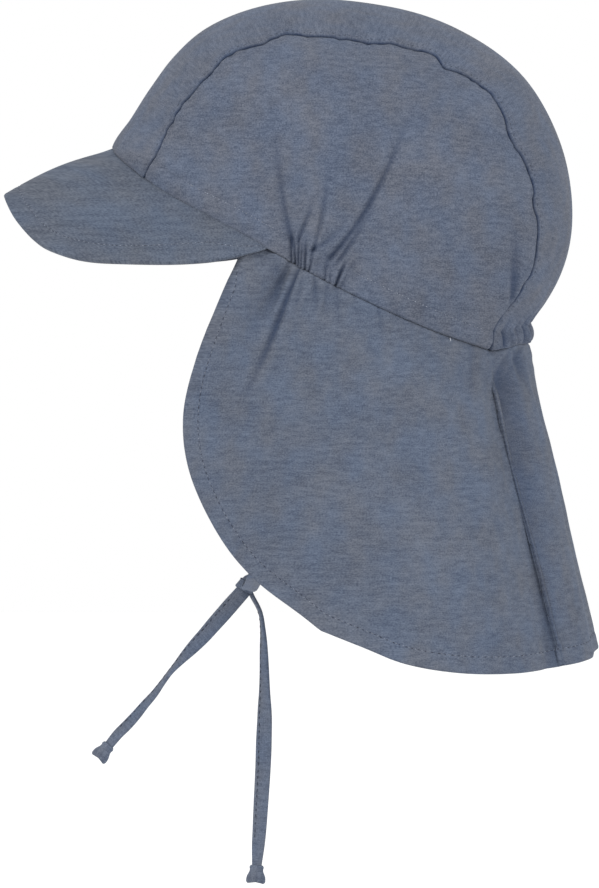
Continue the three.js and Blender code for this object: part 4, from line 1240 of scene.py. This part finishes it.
def studio():
    """Even pale surround, one broad soft light from above the camera, and a pale floor."""
    scene = bpy.context.scene
    scene.view_settings.view_transform = "Standard"
    scene.world = bpy.data.worlds.new("studio")
    scene.world.use_nodes = True
    set_inputs(scene.world.node_tree.nodes["Background"], {"Color": WHITE, "Strength": 1.0})
    area_light("key", (1.5, -0.9, 1.7), size=1.1, power=22)
    area_light("fill", (1.2, 1.3, 0.5), size=1.2, power=5)
    bpy.ops.mesh.primitive_circle_add(
        vertices=96, radius=FLOOR_RADIUS, fill_type="NGON", location=(0, 0, FLOOR_UP))
    floor = bpy.context.object
    floor.name = "floor"
    material, _, _, shader = new_material("floor_paper")
    set_inputs(shader, {
        "Base Color": FLOOR_COLOUR, "Roughness": 1, "Emission Color": WHITE, "Emission Strength": FLOOR_GLOW})
    floor.data.materials.append(material)


# Routes of the ties, as in the source: from the flap to the knot, and from the knot to the tips
ROOT_ROUTE = [
    (42.2, -24.6, -124.8), (39.7, -24.8, -125.6), (37.2, -25.1, -126.3), (34.7, -25.3, -127),
    (32.2, -25.6, -127.6), (29.7, -25.9, -128.2), (27.1, -26.2, -128.7), (24.6, -26.4, -129.1),
    (22, -26.7, -129.3), (19.4, -26.9, -129.5), (16.8, -27.1, -129.6), (14.2, -27.3, -129.6),
    (11.6, -27.5, -129.4), (9, -27.6, -129.2), (6.4, -27.7, -128.9), (3.8, -27.7, -128.5),
]
FRONT_TAIL_ROUTE = [
    (0.9, -30.15, -131.85), (1.6, -33.5, -135.6), (2.1, -36.8, -139.4), (2.5, -40.2, -143.2),
    (2.7, -43.5, -147), (2.8, -47, -150.7), (2.8, -50.5, -154.4), (2.8, -53.9, -158.1),
    (2.6, -57.2, -161.9), (2.5, -60.2, -166), (2.3, -63.2, -170.1), (2, -66.6, -173.9),
    (1.7, -69.8, -177.8), (1.5, -73.2, -181.5), (1.4, -76.8, -185.1), (1.2, -80, -189),
]
BACK_TAIL_ROUTE = [
    (-1.35, -25.75, -132.75), (-1.9, -22.7, -138.9), (-2.2, -21.7, -145.6), (-2.2, -21.4, -152.5),
    (-2.1, -21.2, -159.4), (-1.9, -21.1, -166.2), (-1.7, -21.1, -173.1), (-1.4, -21.1, -179.9),
    (-1.2, -21.3, -186.8), (-1, -21.5, -193.7), (-0.8, -21.8, -200.5), (-0.7, -22.2, -207.4),
    (-0.6, -22.6, -214.2), (-0.6, -23, -221.1), (-0.6, -23.5, -228), (-0.6, -24, -234.8),
]
ROOT_SECTIONS = table("at width turn", (0, 1, 0), (0.6, 0.9, 10), (1, 0.6, 30))
FRONT_TAIL_SECTIONS = table(
    "at width turn",
    (0, 0.95, 0), (0.12, 1, 0), (0.3, 0.95, 20), (0.52, 0.9, 76), (0.68, 0.85, 66), (0.85, 0.8, 45),
    (1, 0.6, 25),
)
BACK_TAIL_SECTIONS = table(
    "at width turn",
    (0, 0.4, 70), (0.08, 0.5, 78), (0.13, 0.7, 77), (0.21, 0.9, 66), (0.37, 1, 52), (0.48, 1, 20),
    (0.6, 1, 0), (0.9, 0.85, 0), (1, 0.6, 0),
)


def dress(piece, material, slot, *nodes):
    """A finished piece in place of its nodes."""
    piece.data.materials.append(material)
    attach(piece, "root")
    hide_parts(*nodes)


def ties(material, stitch):
    """Both roots, the half knot, both tails and their flared tips."""
    knot_piece = knot()
    dress(knot_piece, material, "tie_cloth", "tie_knot")
    mirrored = [(-x, y, z) for x, y, z in ROOT_ROUTE]
    plan = [
        ("root_left", "tie_root_left", ROOT_ROUTE, ROOT_SECTIONS, (0, 0, 1), None),
        ("root_right", "tie_root_right", mirrored, ROOT_SECTIONS, (0, 0, 1), None),
        ("tail_front", "tie_tail_front", FRONT_TAIL_ROUTE, FRONT_TAIL_SECTIONS, (1, 0, 0), "tip_front"),
        ("tail_back", "tie_tail_back", BACK_TAIL_ROUTE, BACK_TAIL_SECTIONS, (1, 0, 0), "tip_back"),
    ]
    lines = []
    for name, node, route, sections, reference, tip_name in plan:
        piece, length, points, line, thick = strip(name, route, sections, reference)
        dress(piece, material, "tie_cloth", node)
        lines.append((line[6:-6], thick[6:-6], 0.12))
        if tip_name:
            end = tip(tip_name, route, sections)
            dress(end, material, "tie_cloth", "tie_" + tip_name)
        else:
            end = knot_piece
    sewing = Sewing(pitch=2.5, length=1.5, radius=0.18, uneven=0.12)
    stitch_mesh("tie_stitches", lines, stitch, sewing)


# A loose end of thread curling out of the band seam, as places back and up
LOOSE_THREAD = [(45, -36.4), (46.2, -37.2), (47.4, -37.4), (48.3, -36.6), (48.2, -35.4)]
LOOSE_THREAD_RADIUS = 0.16
LOOSE_THREAD_LIFT = 0.5


def loose_thread(material):
    back, up = np.array(LOOSE_THREAD).T
    route = [(dome_side(b, u) + LOOSE_THREAD_LIFT, b, u) for b, u in zip(back, up)]
    points, _ = smooth_route(route, 40)
    tangent = unit(np.gradient(points, axis=0))
    across = unit(np.cross(tangent, (1, 0, 0)))
    angle = np.linspace(0, math.tau, 8, endpoint=False)[None, :, None]
    rings = points[:, None] + LOOSE_THREAD_RADIUS * (
        across[:, None] * np.cos(angle) + np.cross(tangent, across)[:, None] * np.sin(angle))
    piece = ring_piece("loose_thread", rings)
    piece.data.materials.append(material)
    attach(piece, "root")


# Shares of the casing's stitch row that the gathers hide
CASING_HIDDEN = ((0, 0.1), (0.36, 0.44), (0.455, 0.6), (0.96, 1))


def main():
    camera()
    tie_cloth = chambray("tie_chambray", Cloth(colour(104, 112, 129), colour(76, 83, 99), colour(50, 58, 76)))
    dark_thread = thread("dark_thread", colour(44, 51, 68))
    ties(tie_cloth, dark_thread)

    crown_cloth = chambray("crown_chambray", Cloth(
        colour(101, 107, 122), colour(68, 75, 91), colour(41, 53, 77),
        weft_streak=1.6, warp_streak=1.0, slub=5.0))
    visor_cloth = chambray("visor_chambray", Cloth(
        colour(96, 103, 117), colour(67, 74, 89), colour(44, 54, 76), weft_streak=0.9, warp_streak=1.8))
    flap_cloth = chambray("flap_chambray", Cloth(
        colour(100, 107, 122), colour(70, 77, 93), colour(43, 55, 79),
        weft_streak=2.4, warp_streak=1.0, slub=7))
    pale_thread = thread("pale_thread", colour(119, 125, 138))
    seam_thread = thread("seam_thread", colour(66, 73, 88))

    centre, grid, facing = centre_panel()
    dress(centre, crown_cloth, "crown_cloth", "crown_centre_panel")
    row = CENTRE_EDGE_STEPS.index(TOPSTITCH_INSET)
    seam_lines = [(grid[k, 3:-3], facing[k, 3:-3], 0.0) for k in (row, -row - 1)]
    casing_lines = []
    for mirrored, node in ((False, "crown_side_left"), (True, "crown_side_right")):
        piece, grid, facing = side_panel(mirrored)
        dress(piece, crown_cloth, "crown_cloth", node)
        casing_lines.append((grid[12:-10, SIDE_LOW_ROWS], facing[12:-10, SIDE_LOW_ROWS], -0.02))
    peak, grid, facing = visor()
    dress(peak, visor_cloth, "visor_cloth", "sun_visor")
    peak_lines = [(grid[3:-3, -VISOR_HEM_ROWS - 1], facing[3:-3, -VISOR_HEM_ROWS - 1], -0.04)]
    flap, grid, facing = neck_flap()
    dress(flap, flap_cloth, "flap_cloth", "neck_flap")
    hem_lines = [(grid[6:-6, -HEM_ROWS - 1], facing[6:-6, -HEM_ROWS - 1], -0.02)]

    crown_sewing = Sewing(pitch=2.2, length=0.95, radius=0.15, uneven=0.2)
    casing_sewing = Sewing(pitch=1.7, length=0.8, radius=0.17, uneven=0.35, gaps=CASING_HIDDEN)
    stitch_mesh("seam_stitches", seam_lines, seam_thread, crown_sewing)
    stitch_mesh("casing_stitches", casing_lines, pale_thread, casing_sewing)
    for name, lines, slot, pitch, length, hole_shade_thread in (
            ("peak_stitches", peak_lines, "visor_cloth", 2.3, 0.9, seam_thread),
            ("hem_stitches", hem_lines, "flap_cloth", 2.5, 0.8, dark_thread)):
        raised = Sewing(pitch=pitch, length=length, radius=0.15, uneven=0.1)
        # Dark thread between the pale stitches: painted shade in the stitch holes
        sunken = Sewing(pitch=pitch, length=1.2, radius=0.17, uneven=0.1, phase=1)
        stitch_mesh(name, lines, pale_thread, raised)
        stitch_mesh(name + "_low", lines, hole_shade_thread, sunken)
    loose_thread(thread("loose_white_thread", colour(178, 182, 190)))
    studio()


main()
